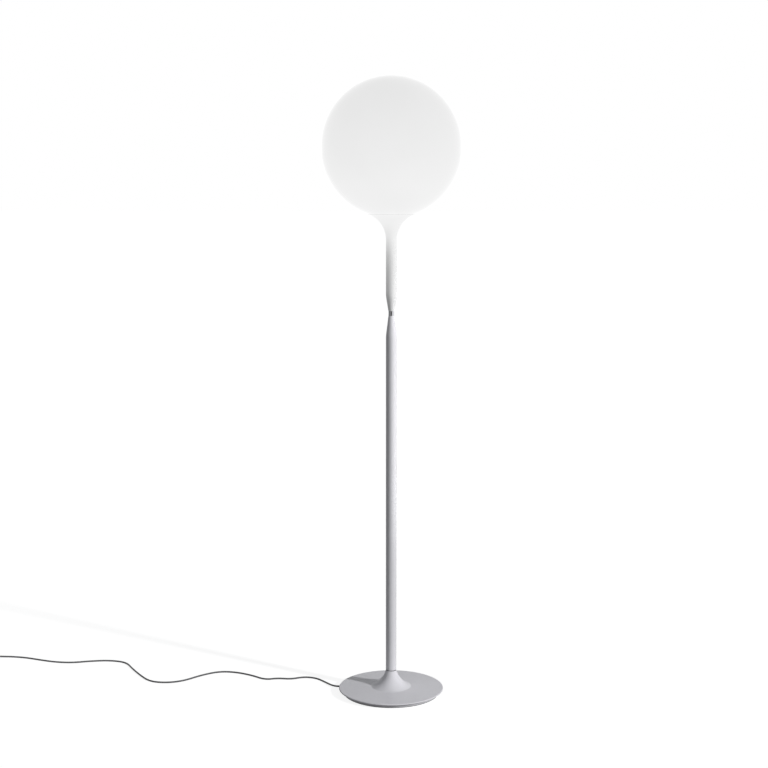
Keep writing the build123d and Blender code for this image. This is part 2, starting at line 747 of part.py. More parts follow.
with BuildPart() as globe_clips:
    with BuildSketch(Plane.XY.offset(collar_top_z)):
        with PolarLocations(clip_end_r, CLIP_COUNT):
            Rectangle(CLIP_LENGTH, CLIP_WIDTH, align=(Align.MAX, Align.CENTER))
        with PolarLocations(clip_screw_r, CLIP_COUNT):
            Circle(CLIP_SCREW_DIA / 2 + THREAD_GAP, mode=Mode.SUBTRACT)
    extrude(amount=CLIP_THICK)
save(globe_clips, "globe_clips")

with BuildPart() as clip_screws:
    with BuildSketch(Plane.XY.offset(seat_z + MOVE_GAP)):
        with PolarLocations(clip_screw_r, CLIP_COUNT):
            Circle(CLIP_SCREW_DIA / 2)
    extrude(amount=collar_top_z + CLIP_THICK - seat_z - MOVE_GAP)
    with BuildSketch(Plane.XY.offset(collar_top_z + CLIP_THICK)):
        with PolarLocations(clip_screw_r, CLIP_COUNT):
            Circle(CLIP_SCREW_HEAD_DIA / 2)
    extrude(amount=CLIP_SCREW_HEAD_HEIGHT)
save(clip_screws, "clip_screws")

# ---------------------------------------------------------------- bulb
bulb_r = BULB_DIA / 2
bulb_neck_r = BULB_NECK_DIA / 2
bulb_cap_r = BULB_CAP_DIA / 2
cap_z = bulb_tip_z + BULB_TIP_HEIGHT + BULB_INSULATOR_HEIGHT
cap_top_z = cap_z + BULB_CAP_HEIGHT
bulb_neck_z = cap_top_z + BULB_STAND_OFF
bulb_angle = flare_angle(bulb_neck_r, BULB_FLARE_RADIUS, bulb_r)
bulb_z = bulb_neck_z + (bulb_r + BULB_FLARE_RADIUS) * cos(bulb_angle)


def bulb_outline(wall):
    """Half of the bulb's outline, set in by a wall: neck, flare and ball, closed along the axis."""
    flare = CenterArc(
        (bulb_neck_r + BULB_FLARE_RADIUS, bulb_neck_z),
        BULB_FLARE_RADIUS + wall,
        180,
        degrees(bulb_angle) - 90,
    )
    ball = CenterArc((0, bulb_z), bulb_r - wall, degrees(bulb_angle) - 90, 180 - degrees(bulb_angle))
    Polyline(flare @ 0, (bulb_neck_r - wall, cap_top_z), (0, cap_top_z), ball @ 1)


with BuildPart() as bulb_glass:
    for wall, mode in ((0, Mode.ADD), (BULB_WALL, Mode.SUBTRACT)):
        with BuildSketch(Plane.XZ) as half:
            with BuildLine():
                bulb_outline(wall)
            make_face()
        revolve(half.sketch, axis=Axis.Z, mode=mode)
save(bulb_glass, "bulb_glass")

with BuildPart() as bulb_cap:
    turned(
        (bulb_cap_r - BULB_CAP_WALL, cap_z),
        (bulb_cap_r, cap_z),
        (bulb_cap_r, cap_top_z),
        (bulb_cap_r - BULB_CAP_WALL, cap_top_z),
    )
save(bulb_cap, "bulb_cap")

with BuildPart() as bulb_insulator:
    turned(
        (0, bulb_tip_z + BULB_TIP_HEIGHT),
        (BULB_TIP_DIA / 2, bulb_tip_z + BULB_TIP_HEIGHT),
        (bulb_cap_r, cap_z),
        (0, cap_z),
    )
save(bulb_insulator, "bulb_insulator")

with BuildPart() as bulb_tip:
    turned(
        (0, bulb_tip_z),
        (BULB_TIP_DIA / 2, bulb_tip_z),
        (BULB_TIP_DIA / 2, bulb_tip_z + BULB_TIP_HEIGHT),
        (0, bulb_tip_z + BULB_TIP_HEIGHT),
    )
save(bulb_tip, "bulb_tip")

with BuildPart() as bulb_mount:
    with BuildSketch(Plane.XY.offset(cap_z)):
        Circle(bulb_cap_r - BULB_CAP_WALL - FIT_GAP)
    extrude(amount=BULB_CAP_WALL)
    with BuildSketch(Plane.XY.offset(cap_z)):
        Circle(MOUNT_DIA / 2)
    extrude(amount=MOUNT_HEIGHT)
    with BuildSketch(Plane.XY.offset(cap_z + MOUNT_HEIGHT - FILAMENT_DIA)):
        Circle(FILAMENT_CIRCLE_DIA / 2 + FILAMENT_DIA)
    extrude(amount=FILAMENT_DIA)
save(bulb_mount, "bulb_mount")

with BuildPart() as bulb_filaments:
    with BuildSketch(Plane.XY.offset(cap_z + MOUNT_HEIGHT)):
        with PolarLocations(FILAMENT_CIRCLE_DIA / 2, FILAMENT_COUNT):
            Circle(FILAMENT_DIA / 2)
    extrude(amount=FILAMENT_LENGTH)
save(bulb_filaments, "bulb_filaments")

# ---------------------------------------------------------------- foot switch
switch = flat_at(SWITCH_X, SWITCH_Y, 0, SWITCH_HEADING)
switch_top_z = SWITCH_TRAY_HEIGHT + SWITCH_COVER_HEIGHT
switch_roof_z = switch_top_z - SWITCH_WALL
block_top_z = SWITCH_WALL + BLOCK_HEIGHT
pedal_r = PEDAL_DIA / 2
pedal_flange_z = switch_roof_z - FIT_GAP - PEDAL_FLANGE_THICK
relief_root = SWITCH_LENGTH / 2
relief_end = relief_root + RELIEF_LENGTH
relief_inner = relief_root - SWITCH_WALL - FIT_GAP
switch_screw = countersunk(SWITCH_SCREW_DIA, SWITCH_SCREW_LENGTH)
switch_screw_hole = countersunk(SWITCH_SCREW_DIA, SWITCH_SCREW_LENGTH, THREAD_GAP)
switch_end_frame = Plane(
    switch.origin + Vector(0, 0, SWITCH_TRAY_HEIGHT), x_dir=switch.x_dir, z_dir=switch.y_dir
)


def switch_shell(low_z, high_z, floor_low):
    """One half of the switch's case: a tub with screw bosses and a round notch at each end."""
    inner_low = low_z + SWITCH_WALL if floor_low else low_z
    inner_high = high_z if floor_low else high_z - SWITCH_WALL
    with BuildSketch(switch.offset(low_z)) as outside:
        RectangleRounded(SWITCH_LENGTH, SWITCH_WIDTH, SWITCH_CORNER)
    extrude(outside.sketch, amount=high_z - low_z)
    edge_z = low_z if floor_low else high_z
    rim = edges().filter_by_position(Axis.Z, edge_z, edge_z)
    fillet(rim, SWITCH_FOOT_ROUND if floor_low else SWITCH_ROUND)
    with BuildSketch(switch.offset(inner_low)) as inside:
        RectangleRounded(
            SWITCH_LENGTH - 2 * SWITCH_WALL, SWITCH_WIDTH - 2 * SWITCH_WALL, SWITCH_CORNER - SWITCH_WALL
        )
        with GridLocations(SWITCH_SCREW_SPAN_X, SWITCH_SCREW_SPAN_Y, 2, 2):
            Circle(BOSS_DIA / 2, mode=Mode.SUBTRACT)
    extrude(inside.sketch, amount=inner_high - inner_low, mode=Mode.SUBTRACT)
    turned_along(
        switch_end_frame,
        (-SWITCH_LENGTH, 0),
        (-SWITCH_LENGTH, RELIEF_ROOT_DIA / 2),
        (SWITCH_LENGTH, RELIEF_ROOT_DIA / 2),
        (SWITCH_LENGTH, 0),
        mode=Mode.SUBTRACT,
    )
    with Locations(switch):
        with GridLocations(SWITCH_SCREW_SPAN_X, SWITCH_SCREW_SPAN_Y, 2, 2):
            add(switch_screw_hole, mode=Mode.SUBTRACT)


with BuildPart() as switch_tray:
    switch_shell(0, SWITCH_TRAY_HEIGHT, True)
save(switch_tray, "switch_tray")

with BuildPart() as switch_cover:
    switch_shell(SWITCH_TRAY_HEIGHT, switch_top_z, False)
    with BuildSketch(switch.offset(switch_roof_z)):
        Circle(pedal_r + MOVE_GAP)
    extrude(amount=SWITCH_WALL, mode=Mode.SUBTRACT)
save(switch_cover, "switch_cover")

with BuildPart() as switch_screws:
    with Locations(switch):
        with GridLocations(SWITCH_SCREW_SPAN_X, SWITCH_SCREW_SPAN_Y, 2, 2):
            add(switch_screw)
save(switch_screws, "switch_screws")

with BuildPart() as switch_pedal:
    with BuildSketch(switch.offset(pedal_flange_z)):
        Circle(pedal_r)
    extrude(amount=switch_top_z + PEDAL_PROUD - pedal_flange_z)
    fillet(edges().sort_by(Axis.Z)[-1], PEDAL_ROUND)
    with BuildSketch(switch.offset(pedal_flange_z)):
        Circle(pedal_r + PEDAL_FLANGE)
    extrude(amount=PEDAL_FLANGE_THICK)
save(switch_pedal, "switch_pedal")

with BuildPart() as switch_block:
    with BuildSketch(switch.offset(SWITCH_WALL)):
        Rectangle(BLOCK_LENGTH, BLOCK_WIDTH)
    extrude(amount=BLOCK_HEIGHT)
save(switch_block, "switch_block")

with BuildPart() as switch_strips:
    with BuildSketch(switch.offset(block_top_z)):
        with GridLocations(STRIP_SPREAD, 0, 2, 1):
            Rectangle(STRIP_WIDTH, STRIP_LENGTH)
    extrude(amount=STRIP_THICK)
save(switch_strips, "switch_strips")

spring_wire_r = SPRING_WIRE_DIA / 2
spring_low_z = block_top_z + spring_wire_r
spring_height = pedal_flange_z - block_top_z - SPRING_WIRE_DIA
with BuildPart() as pedal_spring:
    with BuildLine() as spring_line:
        Helix(
            pitch=spring_height / SPRING_TURNS,
            height=spring_height,
            radius=SPRING_DIA / 2,
            center=(SWITCH_X, SWITCH_Y, spring_low_z),
        )
    with BuildSketch(Plane(spring_line.line @ 0, z_dir=spring_line.line % 0)):
        Circle(spring_wire_r)
    sweep()
save(pedal_spring, "pedal_spring")

with BuildPart() as switch_reliefs:
    for side in (-1, 1):
        turned_along(
            switch_end_frame,
            (side * (relief_inner - RELIEF_HEAD_LENGTH), 0),
            (side * (relief_inner - RELIEF_HEAD_LENGTH), RELIEF_HEAD_DIA / 2),
            (side * relief_inner, RELIEF_HEAD_DIA / 2),
            (side * relief_inner, RELIEF_ROOT_DIA / 2 - FIT_GAP),
            (side * relief_root, RELIEF_ROOT_DIA / 2 - FIT_GAP),
            (side * relief_end, RELIEF_TAIL_DIA / 2),
            (side * relief_end, 0),
        )
save(switch_reliefs, "switch_reliefs")

wire_end_frame = Plane(switch_end_frame.origin, x_dir=switch.y_dir, z_dir=switch.x_dir)
with BuildPart() as switch_wires:
    for side in (-1, 1):
        with BuildSketch(wire_end_frame.offset(side * BLOCK_LENGTH / 2)):
            with GridLocations(WIRE_SPREAD, 0, 2, 1):
                Circle(WIRE_DIA / 2)
        extrude(amount=side * (relief_inner - RELIEF_HEAD_LENGTH - BLOCK_LENGTH / 2))
save(switch_wires, "switch_wires")

# ---------------------------------------------------------------- plug
plug = lying(PLUG_X, PLUG_Y, PLUG_FACE_HEIGHT / 2, PLUG_HEADING)
plug_face = Plane(plug.origin, x_dir=plug.z_dir, z_dir=plug.x_dir)
with BuildPart() as plug_body:
    with BuildSketch(plug_face):
        RectangleRounded(PLUG_TAIL_WIDTH, PLUG_TAIL_HEIGHT, PLUG_ROUND)
    with BuildSketch(plug_face.offset(PLUG_LENGTH)):
        RectangleRounded(PLUG_FACE_WIDTH, PLUG_FACE_HEIGHT, PLUG_ROUND)
    loft()
save(plug_body, "plug_body")

with BuildPart() as plug_pins:
    with BuildSketch(plug_face.offset(PLUG_LENGTH)):
        with GridLocations(PIN_SPACING, 0, 2, 1):
            Circle(PIN_DIA / 2)
    extrude(amount=PIN_LENGTH)
    tips = edges().filter_by(GeomType.CIRCLE).group_by(Axis(plug.origin, plug.x_dir))[-1]
    fillet(tips, PIN_ROUND)
save(plug_pins, "plug_pins")

with BuildPart() as pin_sleeves:
    with BuildSketch(plug_face.offset(PLUG_LENGTH)):
        with GridLocations(PIN_SPACING, 0, 2, 1):
            Circle(PIN_DIA / 2 + PIN_SLEEVE_WALL)
            Circle(PIN_DIA / 2, mode=Mode.SUBTRACT)
    extrude(amount=PIN_SLEEVE_LENGTH)
save(pin_sleeves, "pin_sleeves")

with BuildPart() as plug_relief:
    turned_along(
        plug, (0, 0), (0, RELIEF_ROOT_DIA / 2), (-RELIEF_LENGTH, RELIEF_TAIL_DIA / 2), (-RELIEF_LENGTH, 0)
    )
save(plug_relief, "plug_relief")

# ---------------------------------------------------------------- mains lead outside the lamp
# The lead lies on the floor in the loose waves that it has in use, to the foot switch and on to a coil.
floor_z = cord_r
main_start = lead_start
main_end = switch_end_frame.origin - switch.x_dir * relief_end
tail_start = switch_end_frame.origin + switch.x_dir * relief_end
plug_tail = plug.origin - plug.x_dir * RELIEF_LENGTH

MAIN_ROUTE = [
    (-167.8, 29.4, 7.4),
    (-178.0, 35.6, 6.6),
    (-190.5, 52, 4.6),
    (-209, 84, floor_z),
    (-238, 122, floor_z),
    (-278, 134, floor_z),
    (-318, 112, floor_z),
    (-362, 121, floor_z),
    (-402, 107, floor_z),
    (-446, 149, floor_z),
    (-502, 181, floor_z),
    (-556, 187, floor_z),
    (-610, 150, floor_z),
    (-661, 93, floor_z),
    (-715, 76, floor_z),
    (-768, 91, floor_z),
    (-808, 154, floor_z),
    (-842, 217, floor_z),
    (-872, 281, floor_z),
    (-930, 301, floor_z),
    (-992, 294, floor_z),
    (-1050, 277, floor_z),
    (-1108, 284, floor_z),
    (-1162, 306, floor_z),
    (-1214, 330, floor_z),
    (-1264, 341, floor_z),
    (-1303, 337.5, 4.2),
]
TAIL_ROUTE = [
    (-1460.5, 334.5, 5.8),
    (-1474.5, 329, 3.9),
    (-1485.5, 317, floor_z),
    (-1491, 298, floor_z),
    (-1492, 274, floor_z),
    (-1490.4, 250, floor_z),
]
END_ROUTE = [
    (-1486.4, 229.5, 7.7),
    (-1483.2, 214.5, 6.4),
    (-1482.6, 198.5, 6.2),
]


def lead_tube(name, route):
    """A length of lead: straight runs joined by arcs, each arc as large as its two runs allow."""
    points = [Vector(p) for p in route]
    runs = [after - before for before, after in zip(points, points[1:])]
    radii = [
        RUN_SHARE * min(before.length, after.length) / tan(radians(before.get_angle(after) / 2))
        for before, after in zip(runs, runs[1:])
    ]
    with BuildLine():
        path = FilletPolyline(*points, radius=radii)
    with BuildSketch(Plane(points[0], z_dir=runs[0])) as section:
        Circle(cord_r)
    sweep(section.sketch, path=path)
    print(name, "length", round(path.length, 1), "radii", [round(radius) for radius in radii])
    return pi * cord_r**2 * path.length


with BuildPart() as cord_main:
    expected_volume = lead_tube("cord_main", [main_start, *MAIN_ROUTE, main_end])
print("cord_main volume", round(cord_main.part.volume), "section times length", round(expected_volume))
save(cord_main, "cord_main")

with BuildPart() as cord_tail:
    expected_volume = lead_tube("cord_tail", [tail_start, *TAIL_ROUTE])
print("cord_tail volume", round(cord_tail.part.volume), "section times length", round(expected_volume))
save(cord_tail, "cord_tail")

with BuildPart() as cord_coil:
    with BuildSketch():
        with Locations((COIL_X, COIL_Y)):
            Circle(COIL_OUTER_DIA / 2)
            Circle(COIL_INNER_DIA / 2, mode=Mode.SUBTRACT)
    extrude(amount=COIL_HEIGHT)
    fillet(edges().filter_by(GeomType.CIRCLE), COIL_ROUND)
save(cord_coil, "cord_coil")

with BuildPart() as cord_end:
    expected_volume = lead_tube("cord_end", [*END_ROUTE, plug_tail])
print("cord_end volume", round(cord_end.part.volume), "section times length", round(expected_volume))
save(cord_end, "cord_end")
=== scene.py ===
from math import asin, atan2, ceil, cos, degrees, pi, radians, sin, sqrt, tan

import bmesh
import bpy
from mathutils import Matrix, Vector


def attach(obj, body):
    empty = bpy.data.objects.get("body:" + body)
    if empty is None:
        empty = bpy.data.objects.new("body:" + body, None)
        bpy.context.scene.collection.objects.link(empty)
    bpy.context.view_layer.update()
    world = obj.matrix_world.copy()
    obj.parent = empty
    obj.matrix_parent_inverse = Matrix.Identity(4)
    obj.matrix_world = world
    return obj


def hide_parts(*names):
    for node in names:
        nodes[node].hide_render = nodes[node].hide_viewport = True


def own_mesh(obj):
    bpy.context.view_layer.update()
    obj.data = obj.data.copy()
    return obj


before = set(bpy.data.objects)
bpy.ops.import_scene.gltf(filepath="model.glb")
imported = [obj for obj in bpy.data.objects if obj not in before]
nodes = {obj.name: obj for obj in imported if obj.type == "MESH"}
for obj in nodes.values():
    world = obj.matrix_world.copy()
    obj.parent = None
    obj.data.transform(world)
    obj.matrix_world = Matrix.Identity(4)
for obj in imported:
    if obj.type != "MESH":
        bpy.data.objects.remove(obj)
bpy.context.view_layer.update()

# ---------------------------------------------------------------- sizes shared by several pieces, in metres
STEM_R = 0.01625
TIP_R = 0.0088
GLOBE_R = 0.210
GLOBE_WALL = 0.003
FLARE_R = 0.0815
SHELL_WALL = 0.0025
CONE_TOP_Z = 0.0708
NECK_LOW_Z = 1.1755
NECK_HIGH_Z = 1.1905
UPPER_STRAIGHT_Z = 1.2355
FLARE_Z = 1.404
SEAM_SIN = (STEM_R + FLARE_R) / (GLOBE_R + FLARE_R)
SEAM_COS = sqrt(1 - SEAM_SIN**2)
GLOBE_Z = FLARE_Z + (GLOBE_R + FLARE_R) * SEAM_COS
SEAT_Z = FLARE_Z + FLARE_R * SEAM_COS
CORD_DIA = 0.0054
CORD_R = CORD_DIA / 2
ROUND_STEPS = 96


# ---------------------------------------------------------------- materials
class Finish:
    """A node material: a principled surface whose colour, roughness and bump come from small node chains."""

    def __init__(self, name):
        self.material = bpy.data.materials.new(name)
        self.material.use_nodes = True
        self.tree = self.material.node_tree
        self.shader = self.tree.nodes["Principled BSDF"]
        self.coords = self.tree.nodes.new("ShaderNodeTexCoord").outputs["Object"]

    def node(self, kind, **settings):
        made = self.tree.nodes.new(kind)
        for key, value in settings.items():
            setattr(made, key, value)
        return made

    def link(self, source, target):
        self.tree.links.new(source, target)

    def put(self, **values):
        """Plain values, set on the shader's own sockets."""
        for key, value in values.items():
            self.shader.inputs[key.replace("_", " ")].default_value = value
        return self

    def noise(self, scale, detail=3, stretch=(1, 1, 1)):
        mapping = self.node("ShaderNodeMapping")
        mapping.inputs["Scale"].default_value = stretch
        self.link(self.coords, mapping.inputs["Vector"])
        texture = self.node("ShaderNodeTexNoise")
        texture.inputs["Scale"].default_value = scale
        texture.inputs["Detail"].default_value = detail
        self.link(mapping.outputs["Vector"], texture.inputs["Vector"])
        return texture.outputs["Fac"]

    def height(self):
        split = self.node("ShaderNodeSeparateXYZ")
        self.link(self.coords, split.inputs["Vector"])
        return split.outputs["Z"]

    def ramp(self, source, stops):
        made = self.node("ShaderNodeValToRGB")
        band = made.color_ramp.elements
        first, *middle, last = [(place, colour if isinstance(colour, tuple) else (colour,) * 3)
                                for place, colour in stops]
        band[0].position, band[0].color = first[0], (*first[1], 1)
        band[1].position, band[1].color = last[0], (*last[1], 1)
        for place, colour in middle:
            band.new(place).color = (*colour, 1)
        self.link(source, made.inputs["Fac"])
        return made.outputs["Color"]

    def between(self, source, low, high):
        """The source's range low to high, mapped to 0 to 1."""
        made = self.node("ShaderNodeMapRange")
        made.inputs["From Min"].default_value = low
        made.inputs["From Max"].default_value = high
        self.link(source, made.inputs["Value"])
        return made.outputs["Result"]

    def colour(self, source):
        self.link(source, self.shader.inputs["Base Color"])
        return self

    def rough(self, source):
        self.link(source, self.shader.inputs["Roughness"])
        return self

    def bump(self, source, depth):
        made = self.node("ShaderNodeBump")
        made.inputs["Distance"].default_value = depth
        self.link(source, made.inputs["Height"])
        self.link(made.outputs["Normal"], self.shader.inputs["Normal"])
        return self


def spread(colour, amount):
    """Two shades a little below and above a colour, as the ends of a ramp."""
    low = tuple(c * (1 - amount) for c in colour)
    high = tuple(min(1.0, c * (1 + amount)) for c in colour)
    return [(0.3, low), (0.7, high)]


def lacquer(name, colour, rough=0.3, coat=0.35, peel=0.00002, mottle=0.015):
    """Sprayed satin paint: a slight orange peel under a thin clear coat."""
    made = Finish(name)
    made.colour(made.ramp(made.noise(24, 4), spread(colour, mottle)))
    made.rough(made.ramp(made.noise(70, 3), [(0.3, rough - 0.03), (0.7, rough + 0.04)]))
    made.bump(made.noise(700, 2), peel)
    return made.put(Coat_Weight=coat, Coat_Roughness=0.12)


def moulded(name, colour, rough=0.4, grain=1100, depth=0.00003, mottle=0.03):
    """Moulded plastic or rubber with a fine spark-eroded grain."""
    made = Finish(name)
    made.colour(made.ramp(made.noise(60, 4), spread(colour, mottle)))
    made.rough(made.ramp(made.noise(240, 3), [(0.3, rough - 0.04), (0.7, rough + 0.05)]))
    return made.bump(made.noise(grain, 3), depth)


def metal(name, colour, rough=0.3, stretch=(1, 1, 12), depth=0.000008, mottle=0.05):
    """Bare or plated metal with fine turning or rolling marks."""
    made = Finish(name)
    made.colour(made.ramp(made.noise(90, 4), spread(colour, mottle)))
    made.rough(made.ramp(made.noise(260, 4, stretch), [(0.3, rough - 0.07), (0.7, rough + 0.08)]))
    made.bump(made.noise(420, 3, stretch), depth)
    return made.put(Metallic=1.0)


base_paint = lacquer("paint_base", (0.79, 0.782, 0.82), rough=0.45, coat=0.1)
stem_paint = lacquer("paint_stem", (0.79, 0.785, 0.815), rough=0.38, coat=0.2)
# Painted shade: the neck's paint is darker than the stem's, for the shade in the pinch between the two tips.
neck_paint_painted_shade = lacquer("paint_neck_painted_shade", (0.62, 0.62, 0.64), rough=0.36, coat=0.3)
spider_paint = lacquer("paint_spider", (0.84, 0.84, 0.84), rough=0.4, coat=0.2)
cover_paint = lacquer("paint_cover", (0.035, 0.035, 0.037), rough=0.55, coat=0.0, peel=0.00005)
iron = metal("iron_cast", (0.20, 0.20, 0.205), rough=0.6, stretch=(1, 1, 1), depth=0.00015, mottle=0.15)
zinc = metal("steel_zinc", (0.56, 0.57, 0.59), rough=0.33)
spring_steel = metal("steel_spring", (0.50, 0.50, 0.51), rough=0.28)
brass = metal("brass_strip", (0.72, 0.52, 0.24), rough=0.28)
nickel = metal("nickel_plate", (0.70, 0.67, 0.62), rough=0.2)
foot_rubber = moulded("rubber_foot", (0.035, 0.035, 0.038), rough=0.7, depth=0.00008)
relief_rubber = moulded("rubber_relief", (0.055, 0.055, 0.058), rough=0.55)
cord_pvc = moulded("pvc_cord", (0.115, 0.115, 0.12), rough=0.42, grain=1500, depth=0.00002)
# Painted shade: the inner lead is made near black, darker than the outer cord, so that the slot in the neck
# reads as deep shade.
inner_pvc_painted_shade = moulded("pvc_inner_cord_painted_shade", (0.016, 0.016, 0.017), rough=0.6, grain=1500, depth=0.00002)
white_plastic = moulded("plastic_white", (0.82, 0.82, 0.80), rough=0.38)
switch_plastic = moulded("plastic_switch", (0.030, 0.030, 0.033), rough=0.42, depth=0.00006)
pedal_plastic = moulded("plastic_pedal", (0.060, 0.060, 0.064), rough=0.3, depth=0.00002)
plug_plastic = moulded("plastic_plug", (0.034, 0.034, 0.037), rough=0.45, depth=0.00006)
wire_plastic = moulded("plastic_wire", (0.30, 0.10, 0.035), rough=0.35)
porcelain = moulded("porcelain_core", (0.83, 0.82, 0.77), rough=0.16, grain=300, depth=0.00004)
black_glass = moulded("glass_black", (0.012, 0.012, 0.016), rough=0.12, grain=300)


def glowing(name, stops, low, high, ior, rough, strength=1.0, gloss=0.02):
    """A body given emission: the filament's own light, and painted glow with painted shade for the globe,
    gasket and upper stem. Its stops are (place, base colour, glow), from the low to the high height.
    """
    made = Finish(name)
    level = made.between(made.height(), low, high)
    made.colour(made.ramp(level, [(place, shade) for place, shade, glow in stops]))
    glow = made.ramp(level, [(place, light) for place, shade, light in stops])
    cloud = made.ramp(made.noise(9, 3), [(0.3, 0.985), (0.7, 1.0)])
    mixed = made.node("ShaderNodeMix", data_type="RGBA", blend_type="MULTIPLY")
    mixed.inputs["Factor"].default_value = 1
    made.link(glow, mixed.inputs["A"])
    made.link(cloud, mixed.inputs["B"])
    made.link(mixed.outputs["Result"], made.shader.inputs["Emission Color"])
    made.rough(made.ramp(made.noise(40, 3), [(0.3, rough - 0.02), (0.7, rough + 0.03)]))
    made.bump(made.noise(14, 2), 0.0002)
    return made.put(Emission_Strength=strength, IOR=ior, Specular_IOR_Level=gloss)


# Painted glow: the globe's emission stands in for the bulb's light shining through the opal glass. It is
# painted darker towards the top as painted shade, and its base colour is kept near black so the lamps barely
# shade it.
opal_glass = glowing(
    "glass_opal_painted_glow",
    [(0.0, 0.03, 0.870), (0.2, 0.03, 0.865), (0.45, 0.03, 0.832), (0.8, 0.03, 0.785), (1.0, 0.03, 0.755)],
    low=SEAT_Z, high=GLOBE_Z + GLOBE_R, ior=1.45, rough=0.22, gloss=0.06,
)
# Painted glow: the seam gasket is given an even emission, though it is no lamp.
gasket_painted_glow = glowing("silicone_gasket_painted_glow", [(0.0, 0.1, 0.68), (1.0, 0.1, 0.68)], low=0, high=1, ior=1.4, rough=0.5)
# Painted glow: the upper stem's emission stands in for the bulb's light running down the moulding. It fades
# from the seat to the neck while the base colour grows lighter towards the neck.
opal_stem_painted_glow = glowing(
    "plastic_opal_painted_glow",
    [(0.0, 0.72, 0.09), (0.1, 0.70, 0.125), (0.2, 0.62, 0.215), (0.41, 0.50, 0.30), (0.57, 0.39, 0.425),
     (0.68, 0.25, 0.595), (0.77, 0.14, 0.74), (0.9, 0.05, 0.86), (1.0, 0.03, 0.895)],
    low=NECK_HIGH_Z, high=SEAT_Z, ior=1.46, rough=0.4,
)


def clear(name, tint, rough=0.03):
    made = Finish(name)
    made.colour(made.ramp(made.noise(30, 2), spread(tint, 0.01)))
    made.rough(made.ramp(made.noise(50, 2), [(0.3, rough), (0.7, rough + 0.03)]))
    return made.put(Transmission_Weight=1.0, IOR=1.5)


clear_glass = clear("glass_clear", (0.97, 0.97, 0.96))
bulb_glass = clear("glass_bulb", (0.98, 0.97, 0.94), rough=0.12)
AMBER = (0.9, 0.7, 0.3)
WARM_GLOW = (1.0, 0.85, 0.6)
filament = glowing(
    "filament_warm", [(0.0, AMBER, WARM_GLOW), (1.0, AMBER, WARM_GLOW)],
    low=1.48, high=1.60, ior=1.4, rough=0.4, strength=3.0,
)

NODE_FINISH = {
    base_paint: ["base_casting"],
    iron: ["ballast_plate"],
    zinc: ["ballast_screws", "cover_screws", "clamp_washer", "clamp_nut", "stem_foot_plug", "stem_tip_plug",
           "inner_tube", "holder_nipple", "holder_locknut", "clip_screws", "switch_screws"],
    spring_steel: ["globe_clips", "pedal_spring"],
    cover_paint: ["base_cover"],
    foot_rubber: ["foot_ring"],
    relief_rubber: ["strain_relief", "switch_reliefs", "plug_relief"],
    stem_paint: ["lower_stem"],
    neck_paint_painted_shade: ["neck_coupling"],
    opal_stem_painted_glow: ["upper_stem"],
    white_plastic: ["centring_rings", "lampholder_cap", "lampholder_shell", "shade_ring", "globe_collar",
                    "switch_block"],
    inner_pvc_painted_shade: ["internal_lead"],
    cord_pvc: ["cord_main", "cord_tail", "cord_coil", "cord_end"],
    porcelain: ["lampholder_core"],
    brass: ["terminal_screws", "thread_sleeve", "centre_contact", "switch_strips"],
    spider_paint: ["spider_ring", "spider_hub"],
    gasket_painted_glow: ["seam_gasket"],
    opal_glass: ["globe_glass"],
    bulb_glass: ["bulb_glass"],
    nickel: ["bulb_cap", "bulb_tip", "plug_pins"],
    black_glass: ["bulb_insulator"],
    clear_glass: ["bulb_mount"],
    filament: ["bulb_filaments"],
    switch_plastic: ["switch_tray", "switch_cover"],
    pedal_plastic: ["switch_pedal"],
    wire_plastic: ["switch_wires"],
    plug_plastic: ["plug_body", "pin_sleeves"],
}
for finish, names in NODE_FINISH.items():
    for name in names:
        mesh = nodes[name].data
        mesh.materials.clear()
        mesh.materials.append(finish.material)

# ---------------------------------------------------------------- camera, light and floor
PHOTO_SIZE = 768
FOCAL_LENGTH = 1533.1
CAMERA_PLACE = (-0.022, -4.6044, 1.6046)
CAMERA_DIP = 7.866
camera_data = bpy.data.cameras.new("camera")
camera_data.sensor_width = 36
camera_data.lens = camera_data.sensor_width * (FOCAL_LENGTH / PHOTO_SIZE)
camera_data.clip_end = 200
camera = bpy.data.objects.new("camera", camera_data)
camera.location = CAMERA_PLACE
camera.rotation_euler = (radians(90 - CAMERA_DIP), 0, 0)
bpy.context.scene.collection.objects.link(camera)
bpy.context.scene.camera = camera
bpy.context.scene.view_settings.view_transform = "Standard"


def arithmetic(tree, operation, first, second):
    """A node that combines two values, each a number or another node's output."""
    made = tree.nodes.new("ShaderNodeMath")
    made.operation = operation
    for socket, value in zip(made.inputs, (first, second)):
        if isinstance(value, (int, float)):
            socket.default_value = value
        else:
            tree.links.new(value, socket)
    return made.outputs[0]


def shown_white(tree, lit, strength, share, mirrored):
    """Let camera and glass rays see a share of plain white over a lit surface or sky, which keeps its
    shadows, and let mirror rays see less of it."""
    path = tree.nodes.new("ShaderNodeLightPath").outputs
    direct = arithmetic(tree, "MAXIMUM", path["Is Camera Ray"], path["Is Transmission Ray"])
    glossy = arithmetic(tree, "MULTIPLY", path["Is Glossy Ray"], mirrored)
    seen = arithmetic(tree, "MAXIMUM", direct, glossy)
    part = arithmetic(tree, "MULTIPLY", seen, share)
    white = tree.nodes.new("ShaderNodeBackground" if lit.bl_idname == "ShaderNodeBackground"
                           else "ShaderNodeEmission")
    white.inputs["Color"].default_value = (1, 1, 1, 1)
    white.inputs["Strength"].default_value = strength
    mix = tree.nodes.new("ShaderNodeMixShader")
    tree.links.new(part, mix.inputs[0])
    tree.links.new(lit.outputs[0], mix.inputs[1])
    tree.links.new(white.outputs[0], mix.inputs[2])
    return mix.outputs[0]


world = bpy.data.worlds.new("studio")
bpy.context.scene.world = world
world.use_nodes = True
sky = world.node_tree.nodes["Background"]
sky.inputs["Color"].default_value = (0.94, 0.97, 1.0, 1)
sky.inputs["Strength"].default_value = 0.18
world.node_tree.links.new(
    shown_white(world.node_tree, sky, strength=1.0, share=1.0, mirrored=0.7),
    world.node_tree.nodes["World Output"].inputs["Surface"],
)

